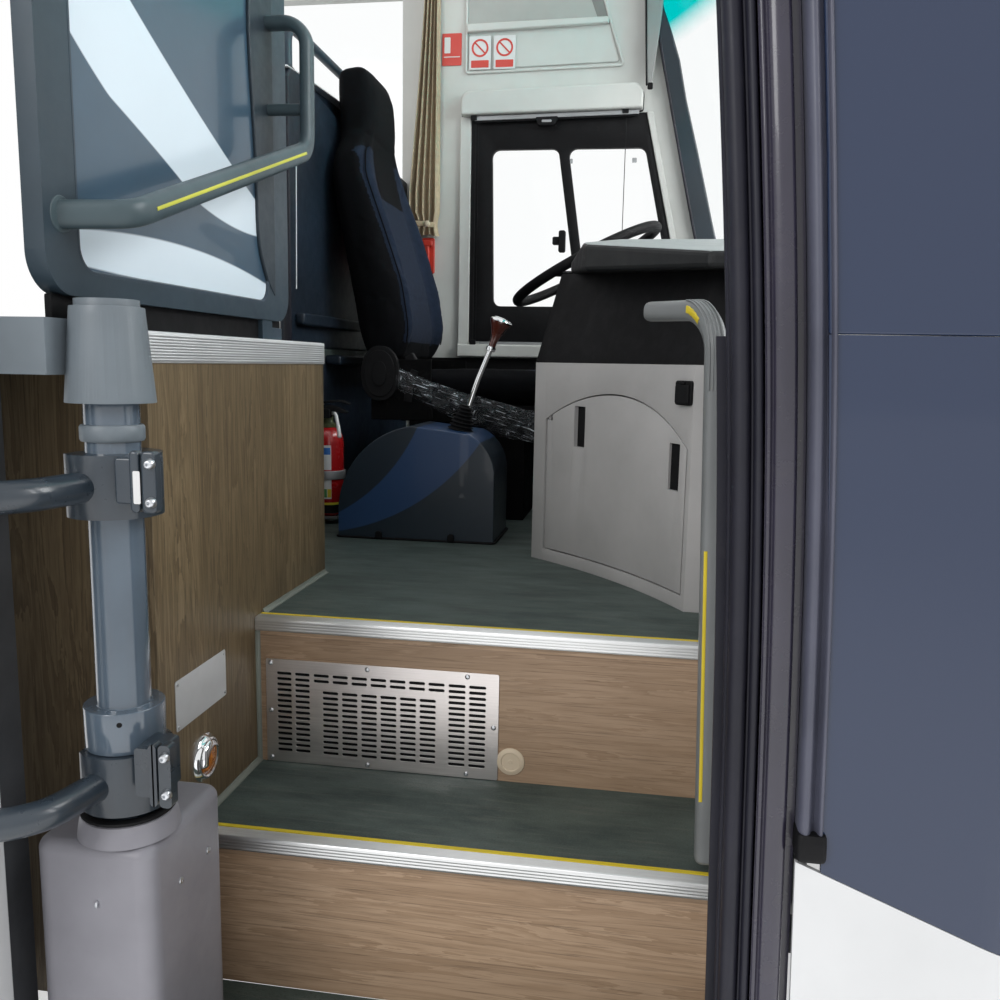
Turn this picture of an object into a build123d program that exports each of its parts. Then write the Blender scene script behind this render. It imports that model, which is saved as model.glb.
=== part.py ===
from build123d import *
import math
import os

# Front entrance and driver's station of a charter bus, cut from the vehicle as one section.
# Millimetres. +X points to the front of the vehicle, +Y from the entrance across to the
# driver's side, +Z up. The origin is on the underside of the doorway sill rail, at the
# middle of the stairwell.

# Heights
rail_h = 40.0
floor_skin = 8.0
lower_rise = 232.0
upper_rise = 250.0
deck_rise = 456.0
top_z = 2300.0
board = 18.0

# Plan of the section
stair_w = 745.0
body_w = 2500.0
skin_out = 65.0
rear_x = -1180.0
front_x = 890.0
corner_x = 650.0
corner_r = 110.0
shell_t = 6.0
lower_nosing_y = 239.5
upper_nosing_y = 480.0
wood_near_y = 176.0
wood_far_y = 823.0
bulkhead_x = -612.5
aisle_far_y = 1303.0
aisle_step_x = -556.0
aisle_rear_x = -674.0
side_wall_t = 50.0
skin_low_z = 60.0

# Frame tubes
rail_w = 50.0
mid_rail_y = 560.0
driver_rail_y = 1330.0

# Steps
nosing_w = 32.0
nosing_h = 20.0
nosing_t = 3.0
riser_setback = 8.0
riser_t = 15.0
trim_h = 38.0
trim_w = 46.0
trim_t = 3.0

# Riser grille with its slots, and the round plug beside it
grille_w = 386.0
grille_h = 180.0
grille_t = 2.0
grille_left = 23.0
grille_z = 286.0
grille_lap = 14.0
slot_h = 5.0
slot_pitch = 9.6
slot_end_w = 28.0
slot_mid_w = 22.0
slot_gap = 6.0
plug_r = 23.0
plug_left = 433.0
plug_z = 315.0
heater_depth = 60.0
heater_t = 2.0

# Door opening, leaf and drive
door_rear_x = -453.0
jamb_foot_x = 351.4
jamb_arc_r = 13300.0
door_head_z = 2092.0
door_gap = 14.0
leaf_t = 35.0
leaf_bottom_z = 46.0
leaf_border = 70.0
leaf_waist_z = 900.0
glass_t = 6.0
shift_x = 790.0
shift_y = 135.0
column_x = -337.5
column_y = 40.0
column_r = 30.0
column_top_z = 1000.0
drive_top_z = 400.0
drive_rear_x = -432.0
drive_front_x = -282.0
drive_near_y = -12.0
drive_far_y = 170.0
bracket_gap = 25.0
elbow_x = -27.0
elbow_y = -146.0
arm_r = 17.0
eye_r = 18.0
pin_r = 8.0
pin_clear = 0.06
clamp_r = 52.0
clamp_h = 70.0
arm_heights = (472.0, 815.0)
run_clear = 0.4

# Partition at the deck edge
part_t = 24.0
part_near_y = 0.0
part_far_y = 670.0
part_top_z = 1830.0
part_gap = 35.0
part_borders = (60.0, 85.0, 28.0, 60.0)
grip_r = 13.0
grip_out = 67.0

# Driver's guard
guard_t = 30.0
guard_top_z = 1655.0
guard_near_y = 1262.0
guard_rail_z = 1750.0
guard_rail_far_y = 1960.0

# Seat
seat_near_y = 1480.0
seat_w = 500.0
seat_rear_x = -400.0
seat_len = 400.0
seat_z = 955.0
cushion_h = 110.0
recline_x = -445.0
recline_z = 933.0
back_top_z = 1752.0
back_lean = 7.0

# Gear lever cover
cover_x0 = -470.0
cover_x1 = -87.5
cover_y0 = 1190.0
cover_y1 = 1400.0
cover_h = 275.0
cover_t = 4.0

# Extinguisher on the bulkhead
bottle_out = 52.0
bottle_in = 77.0
bottle_r = 40.0

# Dashboard
dash_a = (334.5, 683.0)
dash_m = (197.0, 894.0)
dash_b = (18.5, 1073.0)
dash_c = (30.0, 1390.0)
dash_front_x = 720.0
dash_t = 12.0
dash_split_z = 960.0
dash_top_z = 1150.0
cowl_lean = 48.0
span_top_x = 290.0
span_slope = 0.16
pad_door_y = 640.0
pad_door_z = 1114.0
pad_level_y = 1110.0
pad_top_z = 1223.0
locker_left = 34.0
locker_right = 490.0
locker_low_z = 556.0
locker_shoulder_z = 838.0
locker_gap = 3.0
hinge_in = 6.0
hinge_r = 3.0

# Steering
wheel_x = 78.0
wheel_y = 1730.0
wheel_z = 1235.0
wheel_r = 230.0
rim_r = 14.0
wheel_tilt = 28.0
column_len = 374.0

# Driver's window and the windscreen
win_rear_x = -366.0
win_low_z = 1034.0
win_high_z = 1812.0
win_front_x = 402.0
win_top_x = 222.0
pane_low_z = 1156.0
pane_high_z = 1700.0
rake = 13.6
pillar_foot_x = 510.0
side_glass_low_z = 1480.0
side_glass_high_z = 2230.0
screen_in = 39.3
screen_x = 625.0
screen_mid_x = 855.0
screen_top_x = 264.0
screen_left_x = 597.0
screen_left_top_x = 228.0

entrance_z = rail_h + floor_skin
middle_z = entrance_z + lower_rise
platform_z = middle_z + upper_rise
deck_z = platform_z + deck_rise
wall_x = -stair_w / 2
side_x = stair_w / 2
right_skin_y = -skin_out
left_skin_y = body_w - skin_out
left_wall_y = left_skin_y - side_wall_t
mid_y = body_w / 2 - skin_out
half_rail = rail_w / 2
wall_in_y = -half_rail - 1.0
lower_riser_y = lower_nosing_y + riser_setback
upper_riser_y = upper_nosing_y + riser_setback
part_x = wall_x - part_t / 2
parts = {}


def slab(x0, x1, y0, y1, z0, z1):
    """A box between two corners."""
    return Pos((x0 + x1) / 2, (y0 + y1) / 2, (z0 + z1) / 2) * Box(x1 - x0, y1 - y0, z1 - z0)


def prism(points, z0, z1):
    """An upright prism over a closed plan outline."""
    return extrude(Pos(0, 0, z0) * make_face(Polyline(*points, close=True)), z1 - z0, dir=(0, 0, 1))


def profile_y(points, y0, y1):
    """A closed outline in X and Z, carried from y0 to y1."""
    outline = Polyline(*[(x, y0, z) for x, z in points], close=True)
    return extrude(make_face(outline), y1 - y0, dir=(0, 1, 0))


def profile_x(points, x0, x1):
    """A closed outline in Y and Z, carried from x0 to x1."""
    outline = Polyline(*[(x0, y, z) for y, z in points], close=True)
    return extrude(make_face(outline), x1 - x0, dir=(1, 0, 0))


def rod(start, end, radius):
    """A round bar between two points."""
    way = Vector(*end) - Vector(*start)
    plane = Plane(origin=start, z_dir=way)
    return plane * Cylinder(radius, way.length, align=(Align.CENTER, Align.CENTER, Align.MIN))


def bent_bar(points, radii, radius):
    """A round bar along straight runs joined by arcs."""
    path = FilletPolyline(*points, radius=radii)
    way = Vector(*points[1]) - Vector(*points[0])
    return sweep(Plane(origin=points[0], z_dir=way) * Circle(radius), path=path)


def jamb_x(z):
    """Rear edge of the doorway's front jamb, which leans back along a large arc."""
    return jamb_foot_x - jamb_arc_r + math.sqrt(jamb_arc_r ** 2 - z ** 2)


def jamb_band(left, right, y0, y1, z0, z1):
    """Bar that follows the front jamb, between two distances in front of its rear edge."""
    mid = (z0 + z1) / 2
    rear = [(jamb_x(z) + left, y0, z) for z in (z0, mid, z1)]
    front = [(jamb_x(z) + right, y0, z) for z in (z1, mid, z0)]
    edges = ThreePointArc(*rear) + Line(rear[2], front[0]) + ThreePointArc(*front) + Line(front[2], rear[0])
    return extrude(make_face(edges), y1 - y0, dir=(0, 1, 0))


def fuse(solids):
    """One solid from several that touch."""
    whole = solids[0]
    for solid in solids[1:]:
        whole = whole + solid
    return whole


def base_frame():
    """Square tube rails, cross rails and posts that carry the floors."""
    x_end = corner_x - 60
    platform_under = platform_z - board
    deck_under = deck_z - board
    far_y = left_wall_y - half_rail - 1
    rail_rows = (0.0, mid_rail_y, driver_rail_y, far_y)
    cross_rows = (rear_x + half_rail, -700.0, wall_x - 60, side_x + 60, x_end - half_rail)
    solids = []
    for y in rail_rows:
        solids.append(slab(rear_x, x_end, y - half_rail, y + half_rail, 0, rail_h))
    for x in cross_rows:
        solids.append(slab(x - half_rail, x + half_rail, -half_rail, far_y + half_rail, 0, rail_h))
    for x in (rear_x + half_rail, -700.0):
        for y in rail_rows:
            solids.append(slab(x - half_rail, x + half_rail, y - half_rail, y + half_rail, 0, deck_under))
    for x, y in ((side_x + 60, mid_rail_y), (side_x + 60, driver_rail_y), (side_x + 60, far_y),
                 (wall_x - 60, driver_rail_y), (wall_x - 60, far_y)):
        solids.append(slab(x - half_rail, x + half_rail, y - half_rail, y + half_rail, 0, platform_under))
    for y in rail_rows:
        x_stop = -700.0 + half_rail
        solids.append(slab(rear_x, x_stop, y - half_rail, y + half_rail, deck_under - rail_w, deck_under))
    for y in (driver_rail_y, far_y):
        x_start = wall_x - 60
        solids.append(slab(x_start, x_end, y - half_rail, y + half_rail, platform_under - rail_w, platform_under))
    x = door_rear_x - half_rail - 8
    solids.append(slab(x - half_rail, x + half_rail, -half_rail, half_rail, 0, top_z))
    solids.append(jamb_band(12, 12 + rail_w, -half_rail, half_rail, 0, top_z))
    return fuse(solids)


def right_wall():
    """Entrance side wall behind the doorway, with a window above the deck."""
    wall = slab(rear_x, door_rear_x, right_skin_y, wall_in_y, skin_low_z, top_z)
    window = slab(rear_x + 110, door_rear_x - 110, right_skin_y - 1, 0, side_glass_low_z + 20, side_glass_high_z - 20)
    recess = slab(rear_x + 90, door_rear_x - 90, right_skin_y - 1, right_skin_y + glass_t,
                  side_glass_low_z, side_glass_high_z)
    return wall - window - recess


def right_window():
    """Side window bonded in its recess."""
    return slab(rear_x + 90.3, door_rear_x - 90.3, right_skin_y, right_skin_y + glass_t,
                side_glass_low_z + 0.3, side_glass_high_z - 0.3)


def plan_outline(inset):
    """Body outline in plan, round the front corners."""
    y_r = right_skin_y + inset
    y_l = left_skin_y - inset
    x0 = -200.0
    edges = Line((x0, y_r), (corner_x, y_r))
    edges += ThreePointArc((corner_x, y_r), (front_x - inset, mid_y), (corner_x, y_l))
    edges += Line((corner_x, y_l), (x0, y_l))
    edges += Line((x0, y_l), (x0, y_r))
    face = make_face(edges)
    corners = face.vertices().sort_by(Axis.X)[-2:]
    return fillet(corners, corner_r - inset)


def front_shell():
    """Front panel and corner skins below the windscreen."""
    face = plan_outline(0) - plan_outline(shell_t)
    shell = extrude(Pos(0, 0, skin_low_z) * face, deck_z - skin_low_z)
    shell -= jamb_band(-800, 65, right_skin_y - 1, mid_y, 0, 2000)
    shell -= slab(-300, pillar_foot_x + 0.3, mid_y, left_skin_y + 1, 0, 2000)
    return shell - profile_y(quarter_outline(1.0), right_skin_y - 1, 200)


def quarter_outline(grow):
    """Sloping lower edge of the quarter glass, in X and Z."""
    return [(300, 540 - grow), (800, 342 - grow), (800, 1200), (300, 1200)]


def quarter_glass():
    """Dark glass between the front pillar and the windscreen, right side."""
    face = plan_outline(0) - plan_outline(shell_t)
    band = extrude(Pos(0, 0, 300) * face, deck_z - 300)
    piece = band & profile_y(quarter_outline(0), right_skin_y - 1, 160)
    return piece - jamb_band(-800, 88.3, right_skin_y - 1, mid_y, 0, 2000)


def screen_band(x_right, x_mid, x_left, z):
    """Closed plan band of the bowed windscreen at one height."""
    y_r = right_skin_y + screen_in
    y_l = left_skin_y - screen_in
    edges = ThreePointArc((x_right, y_r), (x_mid, mid_y), (x_left, y_l))
    edges += Line((x_left, y_l), (x_left - glass_t, y_l))
    edges += ThreePointArc((x_left - glass_t, y_l), (x_mid - glass_t, mid_y), (x_right - glass_t, y_r))
    edges += Line((x_right - glass_t, y_r), (x_right, y_r))
    return Pos(0, 0, z) * make_face(edges)


def windscreen():
    """Bowed glass that leans back, from the front panel to the cut."""
    lean = (top_z - deck_z) * math.tan(math.radians(rake))
    low = screen_band(screen_x, screen_mid_x, screen_left_x, deck_z + 0.3)
    high = screen_band(screen_top_x, screen_mid_x - lean, screen_left_top_x, top_z)
    return loft([low, high], ruled=True)


def right_pillar():
    """Front pillar between the doorway's front post and the windscreen."""
    z0 = deck_z + 0.5
    front = [(-300, z0), (screen_x - 4, z0), (screen_top_x, top_z), (-300, top_z)]
    return profile_y(front, right_skin_y, wall_in_y) - jamb_band(-800, 88.3, right_skin_y - 1, mid_y, 0, top_z + 1)


def left_pillar():
    """Front pillar between the driver's side wall and the windscreen."""
    z0 = deck_z + 0.5
    outline = [(pillar_foot_x + 0.3, z0), (screen_left_x - 4, z0), (screen_left_top_x, top_z),
               (pillar_x(top_z) + 0.3, top_z)]
    return profile_y(outline, left_wall_y + 12, left_skin_y)


def pillar_x(z):
    """Front edge of the driver's side wall at a height above the deck."""
    return pillar_foot_x - (z - deck_z) * math.tan(math.radians(rake))


def left_wall():
    """Driver's side wall with the sliding window's opening."""
    outline = [(rear_x, skin_low_z), (pillar_foot_x, skin_low_z), (pillar_foot_x, deck_z),
               (pillar_x(top_z), top_z), (rear_x, top_z)]
    wall = profile_y(outline, left_wall_y, left_skin_y)
    rear, front, low, high = side_glass()
    wall -= slab(rear + 15, front - 15, left_wall_y - 1, left_skin_y + 1, low + 15, high - 15)
    wall -= slab(rear, front, left_skin_y - glass_t, left_skin_y + 1, low, high)
    opening = [(win_rear_x, win_low_z), (win_front_x, win_low_z), (win_top_x, win_high_z), (win_rear_x, win_high_z)]
    return wall - profile_y(opening, left_wall_y - 1, left_skin_y + 1)


def side_glass():
    """Rear, front, lower and upper edge of the passenger's window on the driver's side."""
    return rear_x + 50, bulkhead_x - 5, side_glass_low_z, side_glass_high_z


def left_window():
    """Passenger's window behind the driver, bonded in its recess."""
    rear, front, low, high = side_glass()
    return slab(rear + 0.3, front - 0.3, left_skin_y - glass_t, left_skin_y, low + 0.3, high - 0.3)


def pane_outlines(step):
    """Glass openings behind and in front of the slanted middle bar."""
    low = pane_low_z + step
    high = pane_high_z - step
    rear = [(-300 + step, low), (20 - step, low), (-68 - step, high), (-306 + step, high)]
    front = [(48 + step, low), (348 - step, low), (226 - step, high), (-40 + step, high)]
    return rear, front


def window_frame():
    """Window surround plate with its two glass openings, seated in the wall."""
    gap = 1.0
    outer = [(win_rear_x + gap, win_low_z + gap), (win_front_x - gap, win_low_z + gap),
             (win_top_x - gap, win_high_z - gap), (win_rear_x + gap, win_high_z - gap)]
    y0 = left_wall_y - 6
    y1 = left_wall_y + 30
    frame = profile_y(outer, y0, y1)
    for outline in pane_outlines(0):
        frame -= profile_y(outline, y0 - 1, y1 + 1)
    return frame


def window_panes():
    """The two panes, each side of the middle bar."""
    y0 = left_wall_y + 10
    return Compound([profile_y(outline, y0, y0 + glass_t) for outline in pane_outlines(0.5)])


def steps():
    """Entrance, middle and platform floors, each its own board."""
    entrance = slab(wall_x - 75, side_x - 1, -half_rail, lower_riser_y - 0.5, rail_h, entrance_z)
    entrance -= slab(jamb_x(0) + 10.5, side_x, -half_rail - 1, half_rail + 0.5, 0, 100)
    middle = slab(wall_x + 0.5, side_x - 1, lower_riser_y, upper_riser_y + riser_t, middle_z - board, middle_z)
    x_end = corner_x - 60
    plan = [(wall_x + 0.5, upper_riser_y), (side_x - 0.5, upper_riser_y), (side_x - 0.5, dash_a[1]),
            (x_end, dash_a[1]), (x_end, left_wall_y - 1),
            (bulkhead_x + 0.5, left_wall_y - 1), (bulkhead_x + 0.5, aisle_far_y),
            (aisle_step_x - board, aisle_far_y), (aisle_step_x - board, wood_far_y + 0.5),
            (wall_x + 0.5, wood_far_y + 0.5)]
    return entrance, middle, prism(plan, platform_z - board, platform_z)


def nosing(y, z):
    """Aluminium edge trim: a top flange and a front face that hooks over the riser."""
    top = slab(wall_x + 1, side_x - 2, y, y + nosing_w, z + 0.1, z + nosing_t)
    face = slab(wall_x + 1, side_x - 2, y, y + riser_setback - 0.5, z - nosing_h, z + nosing_t)
    return top + face


def risers():
    """Lower riser, and upper riser with the grille and plug openings."""
    lower = slab(wall_x + 0.5, side_x - 1, lower_riser_y, lower_riser_y + riser_t,
                 entrance_z + 0.5, middle_z - board - 0.2)
    upper = slab(wall_x + 0.5, side_x - 1, upper_riser_y, upper_riser_y + riser_t,
                 middle_z + 0.2, platform_z - board - 0.2)
    x0 = wall_x + grille_left
    cut = slab(x0 + grille_lap, x0 + grille_w - grille_lap, upper_riser_y - 1, upper_riser_y + riser_t + 1,
               grille_z + grille_lap, grille_z + grille_h - grille_lap)
    hole = rod((wall_x + plug_left, upper_riser_y - 1, plug_z),
               (wall_x + plug_left, upper_riser_y + riser_t + 1, plug_z), plug_r - 5)
    return lower, upper - cut - hole


def riser_grille():
    """Stainless sheet with four blocks of slots and a band of slots above the middle."""
    x0 = wall_x + grille_left
    sheet = slab(x0, x0 + grille_w, upper_riser_y - grille_t - 0.1, upper_riser_y - 0.1, grille_z, grille_z + grille_h)
    low = grille_z + 19
    # columns: left edge of the first slot, slot width, slots across, first row, rows
    blocks = ((20, slot_end_w, 2, 0, 15), (106, slot_mid_w, 6, 0, 12),
              (303, slot_end_w, 2, 0, 15), (94, slot_end_w - 4, 7, 13, 2))
    cuts = []
    for left, width, across, first, rows in blocks:
        for column in range(across):
            for row in range(first, first + rows):
                x = x0 + left + column * (width + slot_gap)
                z = low + row * slot_pitch
                cuts.append(slab(x, x + width, upper_riser_y - 5, upper_riser_y + 1, z, z + slot_h))
    return sheet - cuts


def riser_plug():
    """Round blanking plug with a lip."""
    x = wall_x + plug_left
    lip = rod((x, upper_riser_y - 3, plug_z), (x, upper_riser_y - 0.1, plug_z), plug_r)
    return lip + rod((x, upper_riser_y - 1, plug_z), (x, upper_riser_y + 10, plug_z), plug_r - 5.4)


def heater_case():
    """Open-fronted sheet case of the step heater, behind the grille."""
    x0 = wall_x + grille_left
    y0 = upper_riser_y + riser_t + 0.3
    z0 = middle_z + 0.5
    z1 = grille_z + grille_h
    case = slab(x0, x0 + grille_w, y0, y0 + heater_depth, z0, z1)
    inner = slab(x0 + heater_t, x0 + grille_w - heater_t, y0 - 1, y0 + heater_depth - heater_t,
                 z0 + heater_t, z1 - heater_t)
    return case - inner


def wood_wall():
    """Laminate stairwell wall and its return beside the aisle."""
    face = slab(wall_x - board, wall_x, wood_near_y, wood_far_y, entrance_z + 0.5, deck_z - board - 0.5)
    back = slab(-674.5, wall_x - board, wood_far_y - board, wood_far_y, platform_z, deck_z - board - 0.5)
    near = slab(-674.5, wall_x - board, wood_near_y, wood_near_y + board, entrance_z + 0.5, deck_z - board - 0.5)
    return face + back + near


def bulkhead():
    """Wall under the driver's guard, from the platform to the deck."""
    return slab(bulkhead_x - board, bulkhead_x, aisle_far_y, left_wall_y - 1, platform_z - board, deck_z - board - 0.5)


def deck_floor():
    """Raised passenger deck, open where the aisle steps rise."""
    x_post = door_rear_x - 8
    plan = [(rear_x, wall_in_y + 1), (x_post, wall_in_y + 1), (x_post, half_rail + 8),
            (wall_x, wood_near_y), (wall_x, wood_far_y), (aisle_rear_x, wood_far_y),
            (aisle_rear_x, aisle_far_y), (bulkhead_x, aisle_far_y), (bulkhead_x, left_wall_y - 1),
            (rear_x, left_wall_y - 1)]
    floor = prism(plan, deck_z - board, deck_z)
    return floor - slab(door_rear_x - 59, door_rear_x - 7, -26, 26, deck_z - 30, deck_z + 10)


def deck_trim():
    """Grooved aluminium trim over the deck edge at the stairwell."""
    side = slab(wall_x + 0.2, wall_x + trim_t, wood_near_y, wood_far_y, deck_z - trim_h, deck_z + trim_t)
    top = slab(wall_x - trim_w, wall_x + trim_t, wood_near_y, wood_far_y, deck_z + 0.2, deck_z + trim_t)
    return side + top


def aisle_steps():
    """One closed step between the platform and the aisle, and the riser behind it."""
    y0 = wood_far_y + 0.5
    y1 = aisle_far_y - 0.5
    mid_z = (deck_z + platform_z) / 2
    step = slab(aisle_rear_x, aisle_step_x, y0, y1, platform_z + 0.3, mid_z)
    step -= slab(aisle_rear_x - 1, aisle_step_x - board, y0 + board, y1 - board, 0, mid_z - board)
    return step + slab(aisle_rear_x, aisle_rear_x + board, y0, y1, mid_z - board, deck_z - board - 0.3)


def partition_outline(share, gap=0.0):
    """Partition's edges in Y and Z, at a share of the surround's width and a gap inside it."""
    near, far, low, high = [share * border + gap for border in part_borders]
    return part_near_y + near, part_far_y - far, deck_z + part_gap + low, part_top_z - high


def rounded_plate(x0, x1, y0, y1, z0, z1, radius):
    """An upright plate across X with rounded corners."""
    plate = slab(x0, x1, y0, y1, z0, z1)
    return fillet(plate.edges().filter_by(Axis.X), radius)


def partition_frame():
    """Moulded surround on two feet that stand on the deck."""
    y0, y1, z0, z1 = partition_outline(0)
    x0 = part_x - part_t / 2 - 8
    x1 = x0 + part_t
    ring = rounded_plate(x0, x1, y0, y1, z0, z1, 45)
    y0, y1, z0, z1 = partition_outline(1)
    ring -= rounded_plate(x0 - 1, x1 + 1, y0, y1, z0, z1, 30)
    for y in (part_near_y + 90, part_far_y - 90):
        ring += slab(x0 + 2, x1 - 2, y - 20, y + 20, deck_z + trim_t + 0.2, deck_z + part_gap + 5)
    return ring


def partition_panel():
    """Flat panel held in the surround."""
    y0, y1, z0, z1 = partition_outline(1, 0.3)
    x0 = part_x - part_t / 2 - 8
    return rounded_plate(x0 + 6, x0 + part_t - 4, y0, y1, z0, z1, 29.5)


def partition_grip():
    """Handrail: an upright, a stub, and a run that slopes down to the doorway."""
    x = part_x + part_t / 2 - 8 + grip_out
    x_in = part_x + part_t / 2 - 8
    far_y = 600.0
    run = bent_bar([(x_in, far_y, 1500), (x, far_y, 1500), (x, far_y, 1262), (x, 70, 1110), (x_in - 10, 35, 1110)],
                   [40, 40, 30], grip_r)
    stub = rod((x_in, far_y, 1361), (x, far_y, 1361), grip_r - 2)
    return run + stub - slab(x_in - 50, x_in + 0.2, -100, 700, 1000, 1700)


def driver_guard():
    """Moulded guard behind the driver's seat."""
    x0 = bulkhead_x - guard_t
    outline = [(guard_near_y, deck_z + 0.3), (left_wall_y - 1, deck_z + 0.3), (left_wall_y - 1, guard_top_z - 65),
               (1640, guard_top_z - 39), (guard_near_y + 30, guard_top_z), (guard_near_y, guard_top_z - 30)]
    return profile_x(outline, x0, bulkhead_x)


def guard_rail():
    """Tube rail along the top of the driver's guard."""
    x = bulkhead_x - guard_t / 2
    y0 = guard_near_y + 38
    y1 = guard_rail_far_y
    z0 = guard_top_z - 80
    rail = bent_bar([(x, y0, z0), (x, y0, guard_rail_z), (x, y1, guard_rail_z), (x, y1, z0)], [45, 40], 12)
    return rail - driver_guard()


def seat_pedestal():
    """Riser box with two slide rails."""
    base = slab(-330, -60, seat_near_y + 60, seat_near_y + seat_w - 60, platform_z, 760)
    for y in (seat_near_y + 80, seat_near_y + seat_w - 110):
        base += slab(-380, 10, y, y + 30, 760, 785)
    return base


def seat_pan():
    """Pan on the slide rails, with side plates that hold the recliner."""
    x0 = seat_rear_x
    x1 = seat_rear_x + seat_len
    pan = slab(x0, x1 - 20, seat_near_y + 30, seat_near_y + seat_w - 30, 797, seat_z - cushion_h - 0.5)
    for y in (seat_near_y + 80, seat_near_y + seat_w - 110):
        pan += slab(x0 + 60, x1 - 80, y, y + 30, 785.5, 798)
    pan += slab(x0, x0 + 90, seat_near_y + 2, seat_near_y + seat_w - 2, 800, 830)
    for y in (seat_near_y + 2, seat_near_y + seat_w - 14):
        pan += slab(x0 - 75, x0 + 90, y, y + 12, 800, recline_z + 30)
    pins = rod((recline_x, seat_near_y + 2, recline_z), (recline_x, seat_near_y + 40, recline_z), 12)
    pins += rod((recline_x, seat_near_y + seat_w - 40, recline_z), (recline_x, seat_near_y + seat_w - 2, recline_z), 12)
    return pan + pins


def seat_cushion():
    """Seat cushion, plain block with rounded edges."""
    block = slab(seat_rear_x + 6, seat_rear_x + seat_len + 20, seat_near_y + 18, seat_near_y + seat_w - 18,
                 seat_z - cushion_h, seat_z)
    return fillet(block.edges(), 18)


def seat_back():
    """Tall backrest with its headrest in one, leaning back, on the recliner pins."""
    length = (back_top_z - recline_z) / math.cos(math.radians(back_lean))
    # columns: distance up the back, rear face, front face, half width
    stations = ((20, -50, 45, 225), (60, -62, 86, 228), (110, -70, 99, 232), (230, -73, 97, 238), (375, -76, 58, 240),
                (520, -86, 12, 232), (612, -82, 6, 190), (640, -75, 10, 135), (690, -74, 17, 130),
                (length - 40, -62, 25, 128), (length, -52, 12, 108))
    faces = []
    plane = Plane(origin=(recline_x, seat_near_y + seat_w / 2, recline_z), x_dir=(1, 0, 0),
                  z_dir=(0, 0, 1)) * Plane(Rot(0, -back_lean, 0))
    for up, rear, front, half in stations:
        section = Pos((front + rear) / 2, 0, up) * RectangleRounded(front - rear, half * 2, 30)
        faces.append(plane * section)
    back = loft(faces, ruled=True)
    hub = rod((recline_x, seat_near_y + 32, recline_z), (recline_x, seat_near_y + seat_w - 32, recline_z), 32)
    for y in (seat_near_y + 15, seat_near_y + seat_w - 15):
        hub -= rod((recline_x, y - 40, recline_z), (recline_x, y + 40, recline_z), 12 + pin_clear)
    return back + hub


def recliner_cover():
    """Oval cover over the recliner at the near side of the seat."""
    face = Plane(origin=(recline_x - 5, seat_near_y + 1.8, recline_z - 12), z_dir=(0, -1, 0),
                 x_dir=(1, 0, 0)) * Ellipse(58, 78)
    return extrude(face, 24)


def cover_body(step, low):
    """Half-round outline of the gear cover in X and Z, carried across it."""
    edges = Line((cover_x0 + step, low), (cover_x0 + step, platform_z + 60))
    edges += RadiusArc((cover_x0 + step, platform_z + 60), (-290, platform_z + cover_h - step), 215 - step)
    edges += Line((-290, platform_z + cover_h - step), (-150, platform_z + cover_h - step - 15))
    edges += RadiusArc((-150, platform_z + cover_h - step - 15), (cover_x1 - step, platform_z + 170), 110)
    edges += Line((cover_x1 - step, platform_z + 170), (cover_x1 - step, low))
    edges += Line((cover_x1 - step, low), (cover_x0 + step, low))
    face = make_face(Plane(origin=(0, cover_y0 + step, 0), x_dir=(1, 0, 0), z_dir=(0, -1, 0)) * edges)
    return extrude(face, cover_y1 - cover_y0 - 2 * step, dir=(0, 1, 0))


def gear_cover():
    """Half-round moulded cover round the gear lever, hollow and open below."""
    return cover_body(0, platform_z + 0.3) - cover_body(cover_t, platform_z - 1)


def gear_lever():
    """Boot, bent rod and knob."""
    x = -165.0
    y = cover_y0 + 75
    z = platform_z + cover_h - 14
    boot = Pos(x, y, z + 20) * Cone(30, 14, 40)
    way = (x + 75, y, z + 267)
    lever = boot + rod((x, y, z + 30), way, 7) + Pos(*way) * Sphere(23)
    return lever - cover_body(-0.3, platform_z)


def extinguisher():
    """Small cylinder with its valve head."""
    x = bulkhead_x + bottle_out
    y = aisle_far_y + bottle_in
    z = platform_z + 22
    body = Pos(x, y, z) * Cylinder(bottle_r, 236, align=(Align.CENTER, Align.CENTER, Align.MIN))
    body = fillet(body.edges(), 22)
    neck = rod((x, y, z + 232), (x, y, z + 262), 13)
    return body + neck + slab(x - 12, x + 62, y - 11, y + 11, z + 258, z + 278)


def extinguisher_bracket():
    """Backplate, shelf and band that hold the cylinder to the bulkhead."""
    x = bulkhead_x + bottle_out
    y = aisle_far_y + bottle_in
    plate = slab(bulkhead_x + 0.3, bulkhead_x + 5, y - 40, y + 40, platform_z + 10, platform_z + 250)
    shelf = slab(bulkhead_x + 0.3, x + 34, y - 34, y + 34, platform_z + 15, platform_z + 21.5)
    ring = Pos(x, y, platform_z + 130) * (Cylinder(bottle_r + 4, 22) - Cylinder(bottle_r + 0.4, 30))
    arm = slab(bulkhead_x + 4, x - bottle_r - 1, y - 12, y + 12, platform_z + 119, platform_z + 141)
    return plate + shelf + ring + arm


def dash_plan(inset):
    """Dashboard base in plan: hollow face towards the steps, then round to the driver."""
    edges = ThreePointArc(dash_a, dash_m, dash_b)
    edges += Line(dash_b, dash_c)
    edges += Line(dash_c, (dash_front_x, dash_c[1]))
    edges += Line((dash_front_x, dash_c[1]), (dash_front_x, dash_a[1]))
    edges += Line((dash_front_x, dash_a[1]), dash_a)
    face = make_face(edges)
    if inset:
        face = offset(face, -inset, kind=Kind.INTERSECTION)
    return face


def chord_plane():
    """Upright plane on the chord of the hollow face, its X along the chord."""
    along = Vector(dash_a[0] - dash_b[0], dash_a[1] - dash_b[1], 0).normalized()
    out = along.cross(Vector(0, 0, 1))
    return Plane(origin=(dash_b[0], dash_b[1], 0), x_dir=along, z_dir=out)


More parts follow.
